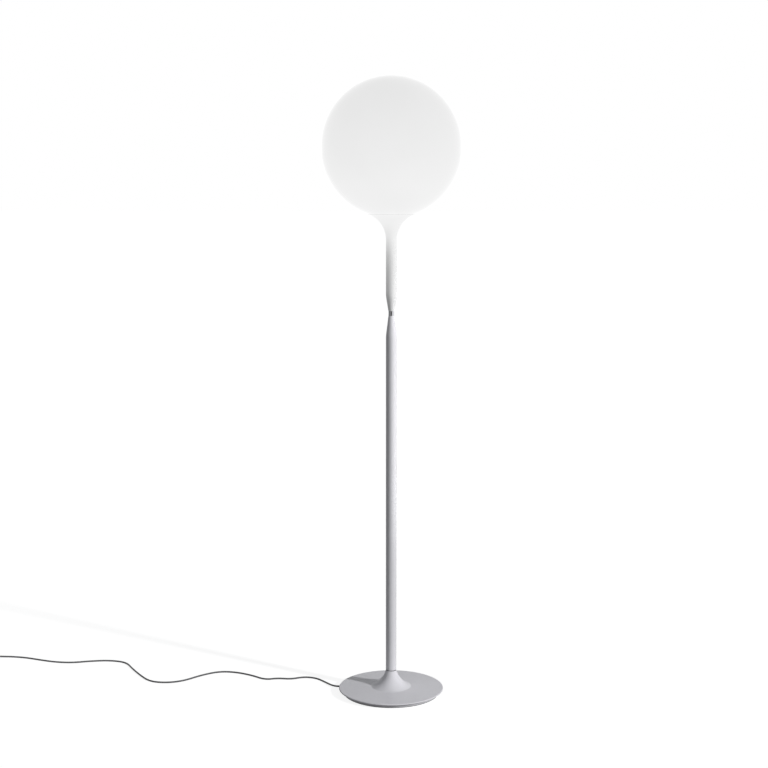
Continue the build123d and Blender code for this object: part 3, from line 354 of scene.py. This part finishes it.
floor_finish = bpy.data.materials.new("floor_pale")
floor_finish.use_nodes = True
floor_tree = floor_finish.node_tree
floor_shader = floor_tree.nodes["Principled BSDF"]
floor_shade = floor_tree.nodes.new("ShaderNodeMix")
floor_shade.data_type = "RGBA"
FLOOR_BOUNCE = 0.32
FLOOR_SEEN = 0.9
floor_shade.inputs["A"].default_value = (*(FLOOR_BOUNCE,) * 3, 1)
floor_shade.inputs["B"].default_value = (*(FLOOR_SEEN,) * 3, 1)
floor_tree.links.new(
    floor_tree.nodes.new("ShaderNodeLightPath").outputs["Is Camera Ray"], floor_shade.inputs["Factor"]
)
floor_tree.links.new(floor_shade.outputs["Result"], floor_shader.inputs["Base Color"])
floor_shader.inputs["Roughness"].default_value = 0.9
floor_shader.inputs["Specular IOR Level"].default_value = 0.0
floor_tree.links.new(
    shown_white(floor_tree, floor_shader, strength=1.28, share=0.68, mirrored=0.5),
    floor_tree.nodes["Material Output"].inputs["Surface"],
)
floor_mesh = bpy.data.meshes.new("floor")
FLOOR_HALF = 60
floor_mesh.from_pydata(
    [(-FLOOR_HALF, -FLOOR_HALF, 0), (FLOOR_HALF, -FLOOR_HALF, 0), (FLOOR_HALF, FLOOR_HALF, 0),
     (-FLOOR_HALF, FLOOR_HALF, 0)], [], [(0, 1, 2, 3)]
)
floor_mesh.materials.append(floor_finish)
floor = bpy.data.objects.new("floor", floor_mesh)
bpy.context.scene.collection.objects.link(floor)


def sun(name, towards, strength, angle):
    """A soft distant light that shines from the direction `towards` and leaves no glint."""
    data = bpy.data.lights.new(name, "SUN")
    data.energy = strength
    data.angle = radians(angle)
    lamp = bpy.data.objects.new(name, data)
    lamp.rotation_euler = Vector(towards).to_track_quat("Z", "Y").to_euler()
    lamp.visible_glossy = False
    bpy.context.scene.collection.objects.link(lamp)


def softbox(name, place, aim, size, power, beam):
    """A panel whose grid keeps its light within a narrow beam. It isn't mirrored in the object."""
    data = bpy.data.lights.new(name, "AREA")
    data.shape = "RECTANGLE"
    data.size, data.size_y = size
    data.energy = power
    data.spread = radians(beam)
    lamp = bpy.data.objects.new(name, data)
    lamp.location = place
    lamp.rotation_euler = (Vector(place) - Vector(aim)).to_track_quat("Z", "Y").to_euler()
    lamp.visible_glossy = False
    bpy.context.scene.collection.objects.link(lamp)


sun("key", towards=(0.835, -0.55, 0.466), strength=2.43, angle=3)
softbox("right_panel", place=(2.64, -0.56, 1.27), aim=(0, 0, 1.27), size=(0.7, 1.5), power=1.1, beam=8)

# ---------------------------------------------------------------- detailed pieces
def arc(centre, radius, start, end, steps):
    """Points on an arc in the (radius, height) plane, from one angle in degrees to another."""
    angles = [radians(start + (end - start) * i / steps) for i in range(steps + 1)]
    return [(centre[0] + radius * cos(a), centre[1] + radius * sin(a)) for a in angles]


def swing(middle, start, end, steps):
    """Points on the short arc about a centre from start to end, in the (radius, height) plane."""
    first, last = start - middle, end - middle
    begin = atan2(first.y, first.x)
    sweep = atan2(first.x * last.y - first.y * last.x, first.dot(last))
    return arc(middle, first.length, degrees(begin), degrees(begin + sweep), steps)


CORNER_STEP = 15
WIDE_BEND_STEP = 1.5
WIDE_BEND = 0.004


def rounded(outline):
    """An outline whose (radius, height, rounding) corners are swapped for small arcs."""
    points = []
    for i, corner in enumerate(outline):
        here = Vector(corner[:2])
        if len(corner) == 2:
            points.append(tuple(here))
            continue
        before = Vector(outline[i - 1][:2]) - here
        after = Vector(outline[(i + 1) % len(outline)][:2]) - here
        half = before.angle(after) / 2
        reach = min(corner[2] / tan(half), 0.49 * before.length, 0.49 * after.length)
        radius = reach * tan(half)
        middle = here + (before.normalized() + after.normalized()).normalized() * radius / sin(half)
        step = WIDE_BEND_STEP if reach > WIDE_BEND else CORNER_STEP
        steps = max(3, ceil((180 - degrees(2 * half)) / step))
        points += swing(middle, here + before.normalized() * reach, here + after.normalized() * reach, steps)
    return points


def pointing(start, towards):
    """A frame at a point whose z axis points along a direction."""
    return Matrix.Translation(start) @ Vector(towards).to_track_quat("Z", "Y").to_matrix().to_4x4()


class Piece:
    """A mesh of turned and lofted shapes that rides on a body in place of plain CAD nodes."""

    def __init__(self, name):
        self.name = name
        self.mesh = bmesh.new()

    def skin(self, rings, closed):
        pairs = list(zip(rings, rings[1:])) + ([(rings[-1], rings[0])] if closed else [])
        for below, above in pairs:
            for i in range(len(below)):
                j = (i + 1) % len(below)
                corners = list(dict.fromkeys((below[i], below[j], above[j], above[i])))
                if len(corners) > 2:
                    self.mesh.faces.new(corners)

    def turn(self, outline, lie=Matrix(), steps=ROUND_STEPS, wave=None):
        """Turn a closed outline of (radius, height) points. A wave changes the radius round the axis."""
        rings = []
        for r, z in outline:
            if r < 1e-6:
                rings.append([self.mesh.verts.new(lie @ Vector((0, 0, z)))] * steps)
                continue
            ring = []
            for i in range(steps):
                angle = 2 * pi * i / steps
                far = wave(r, z, angle) if wave else r
                ring.append(self.mesh.verts.new(lie @ Vector((far * cos(angle), far * sin(angle), z))))
            rings.append(ring)
        self.skin(rings, True)
        return self

    def loft(self, sections, lie=Matrix()):
        """Skin a row of outlines with as many points each, and close both ends."""
        rings = [[self.mesh.verts.new(lie @ Vector(point)) for point in section] for section in sections]
        self.skin(rings, False)
        self.mesh.faces.new(rings[0])
        self.mesh.faces.new(rings[-1])
        return self

    def finish(self, finish, slot, body, *replaced, crease=32):
        bmesh.ops.recalc_face_normals(self.mesh, faces=self.mesh.faces)
        data = bpy.data.meshes.new(self.name)
        self.mesh.to_mesh(data)
        self.mesh.free()
        data.polygons.foreach_set("use_smooth", [True] * len(data.polygons))
        data.set_sharp_from_angle(angle=radians(crease))
        data.materials.append(finish.material)
        made = bpy.data.objects.new(self.name, data)
        bpy.context.scene.collection.objects.link(made)
        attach(made, body)
        if replaced:
            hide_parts(*replaced)
        return made


def sagitta_arc(start, end, sag, steps):
    """An arc from start to end whose middle lies a distance sag to the left of the straight line."""
    start, end = Vector(start), Vector(end)
    half = (end - start) / 2
    side = Vector((-half.y, half.x)).normalized()
    radius = (half.length**2 + sag**2) / (2 * abs(sag))
    middle = start + half + side * (sag - radius * (1 if sag > 0 else -1))
    return swing(middle, start, end, steps)


# The globe: a thin blown shell with a fire-rounded lip at its mouth.
SEAM_GAP = 0.001
MOUTH_Z = SEAT_Z + SEAM_GAP
GLOBE_INNER_R = GLOBE_R - GLOBE_WALL
lip_outer = degrees(atan2(MOUTH_Z - GLOBE_Z, sqrt(GLOBE_R**2 - (GLOBE_Z - MOUTH_Z) ** 2)))
lip_inner = degrees(atan2(MOUTH_Z - GLOBE_Z, sqrt(GLOBE_INNER_R**2 - (GLOBE_Z - MOUTH_Z) ** 2)))
LIP_STEP = 0.35
LIP_INNER_ROUNDING = 0.0009
LIP_OUTER_ROUNDING = 0.0005
outer_arc = arc((0, GLOBE_Z), GLOBE_R, lip_outer + LIP_STEP, 90, 90)
inner_arc = arc((0, GLOBE_Z), GLOBE_INNER_R, 90, lip_inner + LIP_STEP, 90)
lip = rounded([
    inner_arc[-1], (*arc((0, GLOBE_Z), GLOBE_INNER_R, lip_inner, lip_inner, 1)[0], LIP_INNER_ROUNDING),
    (*arc((0, GLOBE_Z), GLOBE_R, lip_outer, lip_outer, 1)[0], LIP_OUTER_ROUNDING), outer_arc[0],
])
Piece("globe_shell").turn(outer_arc + inner_arc + lip[1:-1], steps=160).finish(
    opal_glass, "opal_glass", "globe", "globe_glass"
)

# The upper stem: tip, soft taper, straight tube and the flare that the globe runs into, as one moulding.
FLARE_AXIS = (STEM_R + FLARE_R, FLARE_Z)
flare_sweep = degrees(atan2(SEAM_COS, SEAM_SIN))
inner_sweep = degrees(asin((SEAT_Z - FLARE_Z) / (FLARE_R + SHELL_WALL)))
flare_outer = arc(FLARE_AXIS, FLARE_R, 180 - flare_sweep, 180, 40)
flare_inner = arc(FLARE_AXIS, FLARE_R + SHELL_WALL, 180, 180 - inner_sweep, 40)
TIP_ROUNDING = 0.0006
UPPER_BEND_R = 0.09
upper_outline = flare_outer[1:] + [
    (STEM_R, UPPER_STRAIGHT_Z, UPPER_BEND_R), (TIP_R, NECK_HIGH_Z, TIP_ROUNDING),
    (TIP_R - SHELL_WALL, NECK_HIGH_Z), (STEM_R - SHELL_WALL, UPPER_STRAIGHT_Z, UPPER_BEND_R),
] + flare_inner[:-1] + [(*flare_inner[-1], 0.0004), (*flare_outer[0], 0.0003)]
Piece("upper_shell").turn(rounded(upper_outline)).finish(opal_stem_painted_glow, "opal_plastic", "stand", "upper_stem")

# The lower stem: a drawn tube whose foot is rebated, so that a fine shadow line runs round above the cone.
LOWER_TAPER_Z = NECK_LOW_Z - 0.060
LOWER_BEND_R = 0.12
STEM_WALL = 0.002
REBATE_TOP_Z = CONE_TOP_Z + 0.0020
REBATE_R = STEM_R - 0.0016
lower_outline = [
    (STEM_R - STEM_WALL, CONE_TOP_Z), (REBATE_R, CONE_TOP_Z), (REBATE_R, REBATE_TOP_Z),
    (STEM_R, REBATE_TOP_Z, 0.0004), (STEM_R, LOWER_TAPER_Z, LOWER_BEND_R), (TIP_R, NECK_LOW_Z, TIP_ROUNDING),
    (TIP_R - STEM_WALL, NECK_LOW_Z), (STEM_R - STEM_WALL, LOWER_TAPER_Z, LOWER_BEND_R),
]
Piece("lower_tube").turn(rounded(lower_outline)).finish(stem_paint, "stem_paint", "stand", "lower_stem")

# Painted shade: a dark rubber ring that lies in the rebate, to darken the shadow line above the cone.
RING_R = STEM_R - 0.0002
RING_TOP_Z = CONE_TOP_Z + 0.0014
RING_ROUNDING = 0.0003
Piece("painted_shade_ring").turn(rounded([
    (REBATE_R, CONE_TOP_Z), (RING_R, CONE_TOP_Z, RING_ROUNDING), (RING_R, RING_TOP_Z, RING_ROUNDING),
    (REBATE_R, RING_TOP_Z),
])).finish(relief_rubber, "relief_rubber", "stand")

# The base casting: cone, dished top, rounded rim and undercut, with the pockets below.
CONE_TOP_R = STEM_R + 0.0003
CONE_FOOT = (0.062, 0.0196)
RIM_R = 0.162
RIM_TOP_Z = 0.01609
RIM_LOW_Z = 0.013
RIM_ROUNDING = 0.0025
UNDERCUT_TOP_R = 0.1575
FOOT_RING_R = 0.148
FOOT_RING_BORE_R = 0.141
FOOT_RING_TOP_Z = 0.0016
COVER_SEAT_Z = 0.0031
BALLAST_BORE_R = 0.1283
BALLAST_TOP_Z = 0.0122
CLAMP_FLOOR_Z = 0.0452
STUD_BORE_R = 0.0101
BALLAST_FLOOR_R = 0.042
CLAMP_BORE_R = 0.019
CONE_SAG = 0.008
CONE_FOOT_ROUNDING = 0.012
UNDERCUT_SAG = 0.001
cone_side = sagitta_arc((CONE_TOP_R, CONE_TOP_Z), CONE_FOOT, -CONE_SAG, 40)
rim_arc = arc((RIM_R - RIM_ROUNDING, RIM_TOP_Z - RIM_ROUNDING), RIM_ROUNDING, 88, 0, 10)
undercut = sagitta_arc((UNDERCUT_TOP_R, RIM_LOW_Z), (FOOT_RING_R, FOOT_RING_TOP_Z), -UNDERCUT_SAG, 12)
base_outline = [(STUD_BORE_R, CONE_TOP_Z), (*cone_side[0], 0.0007)] + cone_side[1:-1] + [
    (*cone_side[-1], CONE_FOOT_ROUNDING), *rim_arc, (RIM_R, RIM_LOW_Z, 0.0003),
] + undercut + [
    (FOOT_RING_BORE_R, FOOT_RING_TOP_Z), (FOOT_RING_BORE_R, COVER_SEAT_Z), (BALLAST_BORE_R, COVER_SEAT_Z),
    (BALLAST_BORE_R, BALLAST_TOP_Z, 0.001), (BALLAST_FLOOR_R, BALLAST_TOP_Z, 0.002),
    (CLAMP_BORE_R, CLAMP_FLOOR_Z, 0.001), (STUD_BORE_R, CLAMP_FLOOR_Z),
]
Piece("base_body").turn(rounded(base_outline), steps=192).finish(
    base_paint, "base_paint", "stand", "base_casting"
)

# The foot ring, whose tread has two grooves.
GROOVE_DEPTH = 0.0005
GROOVE_RADII = (0.1428, 0.1454)
tread_grooves = [
    (inner_r + across, up) for inner_r in GROOVE_RADII
    for across, up in ((0, 0), (0.0002, GROOVE_DEPTH), (0.0006, GROOVE_DEPTH), (0.0008, 0))
]
Piece("foot_tread").turn(rounded(
    [(FOOT_RING_BORE_R, 0.0, 0.0004)] + tread_grooves
    + [(FOOT_RING_R, 0.0, 0.0006), (FOOT_RING_R, FOOT_RING_TOP_Z), (FOOT_RING_BORE_R, FOOT_RING_TOP_Z)]
), steps=160).finish(foot_rubber, "foot_rubber", "stand", "foot_ring")


def ribbed(start, end, root_r, tail_r, count, depth):
    """A tapering sleeve's outline between two distances, cut by grooves that let it bend."""
    points = []
    pitch = (end - start) / count
    for i in range(count):
        for share, cut in ((0.0, 0), (0.5, 0), (0.6, 1), (0.9, 1)):
            place = start + (i + share) * pitch
            r = root_r + (tail_r - root_r) * (place - start) / (end - start)
            points.append((r - cut * depth, place))
    return points + [(tail_r, end - pitch * 0.05), (tail_r - 0.0003, end)]


def threaded(low, high, pitch, depth):
    """A wave that cuts a rounded screw thread between two heights."""
    def wave(r, z, angle):
        fade = max(0.0, min(1.0, (z - low) / pitch, (high - z) / pitch))
        return r - depth * fade * (1 - cos(2 * pi * z / pitch - angle)) / 2
    return wave


# Strain reliefs: one in the base's rim, one at each end of the switch and one on the plug.
RELIEF_STEPS = 48
LEAD_HEIGHT = 0.0076
LEAD_HOLE_R = CORD_R + 0.00005
BASE_RELIEF_R = 0.0039
BASE_FLANGE_R = 0.0044
BASE_FLANGE_PLACES = (0.124, 0.128)
BASE_RIB_PLACES = (0.148, 0.158)
GLAND_HEADING = radians(170)
Piece("base_relief").turn(
    [(LEAD_HOLE_R, BASE_FLANGE_PLACES[0]), (BASE_FLANGE_R, BASE_FLANGE_PLACES[0]),
     (BASE_FLANGE_R, BASE_FLANGE_PLACES[1]), (BASE_RELIEF_R, BASE_FLANGE_PLACES[1])]
    + ribbed(*BASE_RIB_PLACES, BASE_RELIEF_R, tail_r=0.0033, count=4, depth=0.0004)
    + [(LEAD_HOLE_R, BASE_RIB_PLACES[1])],
    pointing((0, 0, LEAD_HEIGHT), (cos(GLAND_HEADING), sin(GLAND_HEADING), 0)), RELIEF_STEPS,
).finish(relief_rubber, "relief_rubber", "stand", "strain_relief")

RIB_COUNT = 7
RIB_DEPTH = 0.0009
RELIEF_TAIL_R = 0.0034
SWITCH_PLACE = (-1.385, 0.335, 0.007)
SWITCH_FLANGE_R = 0.0049
SWITCH_RELIEF_R = 0.0044
SWITCH_FLANGE_PLACES = (0.0349, 0.0379)
SWITCH_RIB_PLACES = (0.040, 0.062)
relief_outline = [
    (0, SWITCH_FLANGE_PLACES[0]), (SWITCH_FLANGE_R, SWITCH_FLANGE_PLACES[0]),
    (SWITCH_FLANGE_R, SWITCH_FLANGE_PLACES[1]), (SWITCH_RELIEF_R, SWITCH_FLANGE_PLACES[1]),
] + ribbed(*SWITCH_RIB_PLACES, SWITCH_RELIEF_R, RELIEF_TAIL_R, RIB_COUNT, RIB_DEPTH)
relief_outline.append((0, SWITCH_RIB_PLACES[1]))
switch_reliefs = {
    name: Piece(name).turn(relief_outline, pointing(SWITCH_PLACE, (side, 0, 0)), RELIEF_STEPS).finish(
        relief_rubber, "relief_rubber", "stand", "switch_reliefs"
    ) for name, side in (("relief_to_lamp", 1), ("relief_to_plug", -1))
}

PLUG_PLACE = (-1.477, 0.163, 0.007)
PLUG_HEADING = radians(280)
PLUG_SLEEVE_LENGTH = 0.022
plug_sleeve = Piece("plug_sleeve").turn(
    [(0, 0)] + ribbed(0, PLUG_SLEEVE_LENGTH, 0.0045, RELIEF_TAIL_R, RIB_COUNT, RIB_DEPTH)
    + [(0, PLUG_SLEEVE_LENGTH)],
    pointing(PLUG_PLACE, (-cos(PLUG_HEADING), -sin(PLUG_HEADING), 0)), RELIEF_STEPS,
).finish(relief_rubber, "relief_rubber", "stand", "plug_relief")

# The plug: a flat wedge with grip ribs.
PLUG_LENGTH = 0.036
PLUG_TAIL_SIZE = (0.015, 0.012)
PLUG_GROWTH = (0.020, 0.002)
PLUG_CORNER = 0.004
GRIP_START = 0.008
GRIP_PITCH = 0.003
GRIP_COUNT = 6
GRIP_DEPTH = 0.0007


def plug_section(place, inset=0.0, steps=6):
    """The plug's rounded section at a distance from its tail."""
    share = place / PLUG_LENGTH
    half_width = (PLUG_TAIL_SIZE[0] + PLUG_GROWTH[0] * share) / 2 - inset
    half_height = (PLUG_TAIL_SIZE[1] + PLUG_GROWTH[1] * share) / 2 - inset * 0.6
    points = []
    for quarter, (y, z) in enumerate(((1, 1), (-1, 1), (-1, -1), (1, -1))):
        for i in range(steps + 1):
            angle = radians(90 * (quarter + i / steps))
            points.append((place, y * (half_width - PLUG_CORNER) + PLUG_CORNER * cos(angle),
                           z * (half_height - PLUG_CORNER) + PLUG_CORNER * sin(angle)))
    return points


plug_sections = [plug_section(0.0, 0.0010), plug_section(0.0003, 0.0004), plug_section(0.001)]
for rib in range(GRIP_COUNT):
    foot = GRIP_START + rib * GRIP_PITCH
    plug_sections += [plug_section(foot), plug_section(foot + 0.0004, GRIP_DEPTH),
                      plug_section(foot + 0.0014, GRIP_DEPTH), plug_section(foot + 0.0018)]
plug_sections += [plug_section(PLUG_LENGTH - 0.001), plug_section(PLUG_LENGTH - 0.0003, 0.0003),
                  plug_section(PLUG_LENGTH, 0.0009)]
plug_shell = Piece("plug_shell").loft(
    plug_sections, Matrix.Translation(PLUG_PLACE) @ Matrix.Rotation(PLUG_HEADING, 4, "Z")
).finish(plug_plastic, "plug_plastic", "stand", "plug_body")

# The foot switch's pedal: a shallow dish with two grip rings.
SWITCH_FOOT = Matrix.Translation((*SWITCH_PLACE[:2], 0))
PEDAL_R = 0.013
PEDAL_FLANGE_R = 0.015
PEDAL_LOW_Z = 0.0173
PEDAL_FLANGE_TOP_Z = 0.0189
PEDAL_TOP_Z = 0.0250
PEDAL_DISH = [(0.0045, 0.02475), (0, 0.02465)]
GRIP_RINGS = [(0.0107, PEDAL_TOP_Z), (0.0083, 0.0249)]
grip_grooves = [
    (outer_r - inwards, top_z - down) for outer_r, top_z in GRIP_RINGS
    for inwards, down in ((0, 0), (0.0003, 0.0004), (0.0009, 0.0004), (0.0012, 0))
]
pedal_button = Piece("pedal_button").turn(rounded([
    (0, PEDAL_LOW_Z), (PEDAL_FLANGE_R, PEDAL_LOW_Z, 0.0003), (PEDAL_FLANGE_R, PEDAL_FLANGE_TOP_Z, 0.0003),
    (PEDAL_R, PEDAL_FLANGE_TOP_Z), (PEDAL_R, PEDAL_TOP_Z, 0.0012), *grip_grooves, *PEDAL_DISH,
]), SWITCH_FOOT, 72).finish(pedal_plastic, "pedal_plastic", "pedal", "switch_pedal")

# The pedal's spring: a coil of round wire, given a mesh of its own.
SPRING_R = 0.006
SPRING_WIRE_R = 0.00045
SPRING_LOW_Z = 0.00945
SPRING_HIGH_Z = 0.01685
SPRING_TURNS = 4


def wire_sections(turn_steps=24, wire_steps=10):
    """Rings of points round the spring's wire, from its lower end to its upper end."""
    sections = []
    steps = SPRING_TURNS * turn_steps
    rise = (SPRING_HIGH_Z - SPRING_LOW_Z) / steps
    for i in range(steps + 1):
        angle = 2 * pi * i / turn_steps
        outward = Vector((cos(angle), sin(angle), 0))
        along = Vector((-sin(angle), cos(angle), rise * turn_steps / (2 * pi * SPRING_R))).normalized()
        across = along.cross(outward)
        middle = outward * SPRING_R + Vector((0, 0, SPRING_LOW_Z + rise * i))
        turns = [2 * pi * k / wire_steps for k in range(wire_steps)]
        sections.append([middle + (outward * cos(t) + across * sin(t)) * SPRING_WIRE_R for t in turns])
    return sections


spring_coil = Piece("spring_coil").loft(wire_sections(), SWITCH_FOOT).finish(
    spring_steel, "spring_steel", "stand", "pedal_spring", crease=60
)
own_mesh(spring_coil)

# Lampholder and bulb: threads, a knurled ring and the blown envelope.
HOLDER_R = 0.019
HOLDER_BORE_R = 0.0140
SKIRT_BORE_R = 0.0165
HOLDER_LOW_Z = 1.464281
SKIRT_TOP_Z = 1.467281
FLANGE_R = 0.023
FLANGE_LOW_Z = 1.475781
FLANGE_TOP_Z = 1.478281
HOLDER_TOP_Z = 1.500281
HOLDER_EDGE = 0.0004
HOLDER_STEP = 0.0004
HOLDER_STEPS = 53
shell_wall = [(HOLDER_R, FLANGE_TOP_Z + HOLDER_STEP * i) for i in range(HOLDER_STEPS)]
Piece("holder_sleeve").turn(rounded([
    (HOLDER_BORE_R, SKIRT_TOP_Z), (SKIRT_BORE_R, SKIRT_TOP_Z), (SKIRT_BORE_R, HOLDER_LOW_Z),
    (HOLDER_R, HOLDER_LOW_Z), (HOLDER_R, FLANGE_LOW_Z), (FLANGE_R, FLANGE_LOW_Z, HOLDER_EDGE),
    (FLANGE_R, FLANGE_TOP_Z, HOLDER_EDGE), *shell_wall, (HOLDER_R, HOLDER_TOP_Z, HOLDER_EDGE),
    (HOLDER_BORE_R, HOLDER_TOP_Z, 0.0006),
]), wave=threaded(low=1.4800, high=1.4985, pitch=0.0025, depth=0.0006)).finish(
    white_plastic, "white_plastic", "stand", "lampholder_shell"
)

SHADE_RING_R = 0.024
SHADE_RING_BORE_R = 0.01905
SHADE_RING_TOP_Z = SEAT_Z + 0.005
KNURL_COUNT = 40
KNURL_DEPTH = 0.0007
KNURL_MARGIN = 0.0012


def knurled(r, z, angle):
    """Grip grooves along the outer face of the shade ring, and nothing on its bore."""
    outside = r > (SHADE_RING_R + SHADE_RING_BORE_R) / 2
    return r - (KNURL_DEPTH * (1 - cos(KNURL_COUNT * angle)) / 2 if outside else 0)


Piece("knurled_ring").turn(rounded([
    (SHADE_RING_BORE_R, SEAT_Z, 0.0002), (SHADE_RING_R, SEAT_Z, 0.0007),
    (SHADE_RING_R, SEAT_Z + KNURL_MARGIN), (SHADE_RING_R, SHADE_RING_TOP_Z - KNURL_MARGIN),
    (SHADE_RING_R, SHADE_RING_TOP_Z, 0.0007), (SHADE_RING_BORE_R, SHADE_RING_TOP_Z, 0.0002),
]), steps=240, wave=knurled).finish(white_plastic, "white_plastic", "stand", "shade_ring")

CAP_R = 0.0131
CAP_BORE_R = 0.0123
CAP_Z = 1.484181
CAP_TOP_Z = 1.506181
CAP_FOOT_STEP = 0.0004
CAP_STEP = 0.00045
CAP_STEPS = 42
cap_side = [(CAP_R, CAP_Z + CAP_FOOT_STEP + CAP_STEP * i) for i in range(CAP_STEPS)]
cap_thread = threaded(low=CAP_Z, high=CAP_TOP_Z - 0.002, pitch=0.00363, depth=0.0005)
Piece("screw_cap").turn(rounded([
    (CAP_BORE_R, CAP_Z), (CAP_R - 0.0002, CAP_Z), *cap_side, (CAP_R, CAP_TOP_Z, 0.0003),
    (CAP_BORE_R, CAP_TOP_Z),
]), wave=lambda r, z, angle: cap_thread(r, z, angle) if r > (CAP_R + CAP_BORE_R) / 2 else r).finish(
    nickel, "nickel", "bulb", "bulb_cap"
)

BULB_R = 0.030
BULB_NECK_R = 0.013
BULB_FLARE_R = 0.050
BULB_Z = 1.556986
BULB_NECK_Z = 1.507681
BULB_WALL = 0.001
bulb_turn = degrees(asin((BULB_NECK_R + BULB_FLARE_R) / (BULB_R + BULB_FLARE_R)))


def bulb_side(wall, foot_z):
    """Neck, flare and ball of the bulb's envelope, set in by a wall, from foot to top."""
    flare = arc((BULB_NECK_R + BULB_FLARE_R, BULB_NECK_Z), BULB_FLARE_R + wall, 180, 90 + bulb_turn, 14)
    ball = arc((0, BULB_Z), BULB_R - wall, bulb_turn - 90, 90, 40)
    return [(BULB_NECK_R - wall, foot_z)] + flare + ball[1:-1] + [(0, BULB_Z + BULB_R - wall)]


Piece("bulb_envelope").turn(
    bulb_side(0, CAP_TOP_Z) + bulb_side(BULB_WALL, CAP_TOP_Z)[::-1], steps=72
).finish(bulb_glass, "bulb_glass", "bulb", "bulb_glass")

# ---------------------------------------------------------------- mains lead
MAIN_ROUTE = [
    (-0.1556, 0.0274, 0.0076), (-0.1678, 0.0294, 0.0074), (-0.1780, 0.0356, 0.0066),
    (-0.1905, 0.052, 0.0046), (-0.209, 0.084), (-0.238, 0.122), (-0.278, 0.134), (-0.318, 0.112),
    (-0.362, 0.121), (-0.402, 0.107), (-0.446, 0.149), (-0.502, 0.181), (-0.556, 0.187), (-0.610, 0.150),
    (-0.661, 0.093), (-0.715, 0.076), (-0.768, 0.091), (-0.808, 0.154), (-0.842, 0.217), (-0.872, 0.281),
    (-0.930, 0.301), (-0.992, 0.294), (-1.050, 0.277), (-1.108, 0.284), (-1.162, 0.306), (-1.214, 0.330),
    (-1.264, 0.341), (-1.303, 0.3375, 0.0042), (-1.323, 0.335, 0.007),
]
TAIL_ROUTE = [
    (-1.447, 0.335, 0.007), (-1.4605, 0.3345, 0.0058), (-1.4745, 0.329, 0.0039), (-1.4855, 0.317),
    (-1.491, 0.298), (-1.492, 0.274), (-1.4904, 0.250),
]
END_ROUTE = [
    (-1.4864, 0.2295, 0.0077), (-1.4832, 0.2145, 0.0064), (-1.4826, 0.1985, 0.0062),
    (-1.48082, 0.184666, 0.007),
]
COIL_CENTRE = (-1.455, 0.240)
TURN_RADII = [0.0355, 0.030, 0.0245, 0.02725, 0.03275]
TURN_HEIGHTS = [CORD_R, CORD_R, CORD_R, 0.00735, 0.00735]
TURN_POINTS = 16
STEP_SHARE = 0.2
COIL_START, COIL_END = 170, 200


def coil_points():
    """The put-away turns: three side by side on the floor, then two in the grooves on top of them. In the
    last share of a turn the lead steps over to the next."""
    swell = 1 / cos(pi / TURN_POINTS)
    points = []
    step = 360 / TURN_POINTS
    count = int((360 * len(TURN_RADII) + COIL_END - COIL_START) / step)
    for i in range(count):
        turn, within = divmod(i, TURN_POINTS)
        turn = min(turn, len(TURN_RADII) - 1)
        after = min(turn + 1, len(TURN_RADII) - 1)
        shift = max(0.0, (within / TURN_POINTS - (1 - STEP_SHARE)) / STEP_SHARE)
        shift = shift * shift * (3 - 2 * shift)
        radius = (TURN_RADII[turn] * (1 - shift) + TURN_RADII[after] * shift) * swell
        height = TURN_HEIGHTS[turn] * (1 - shift) + TURN_HEIGHTS[after] * shift
        angle = radians(COIL_START + step * i)
        points.append((COIL_CENTRE[0] + radius * cos(angle), COIL_CENTRE[1] + radius * sin(angle), height))
    return points


def cord_curve(name, route):
    """A round lead on one smooth curve. A route point without a height lies on the floor."""
    points = [point if len(point) == 3 else (*point, CORD_R) for point in route]
    data = bpy.data.curves.new(name, "CURVE")
    data.dimensions = "3D"
    data.bevel_depth = CORD_R
    data.bevel_resolution = 5
    data.resolution_u = 10
    data.use_fill_caps = True
    line = data.splines.new("NURBS")
    line.points.add(len(points) - 1)
    for control, point in zip(line.points, points):
        control.co = (*point, 1)
    line.order_u = 3
    line.use_endpoint_u = True
    data.materials.append(cord_pvc.material)
    made = bpy.data.objects.new(name, data)
    bpy.context.scene.collection.objects.link(made)
    return made


first_run = cord_curve("lead_first_run", MAIN_ROUTE)
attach(first_run, "stand")
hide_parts("cord_main")
second_run = cord_curve("lead_second_run", TAIL_ROUTE + coil_points() + END_ROUTE)
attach(second_run, "stand")
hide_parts("cord_tail", "cord_coil", "cord_end")

switch_pieces = [nodes[name] for name in ("switch_tray", "switch_cover", "switch_screws", "switch_block",
                                          "switch_strips", "switch_wires")]
switch_pieces += [switch_reliefs["relief_to_lamp"], pedal_button, spring_coil]
plug_pieces = [switch_reliefs["relief_to_plug"], plug_sleeve, plug_shell]
plug_pieces += [nodes["plug_pins"], nodes["pin_sleeves"]]
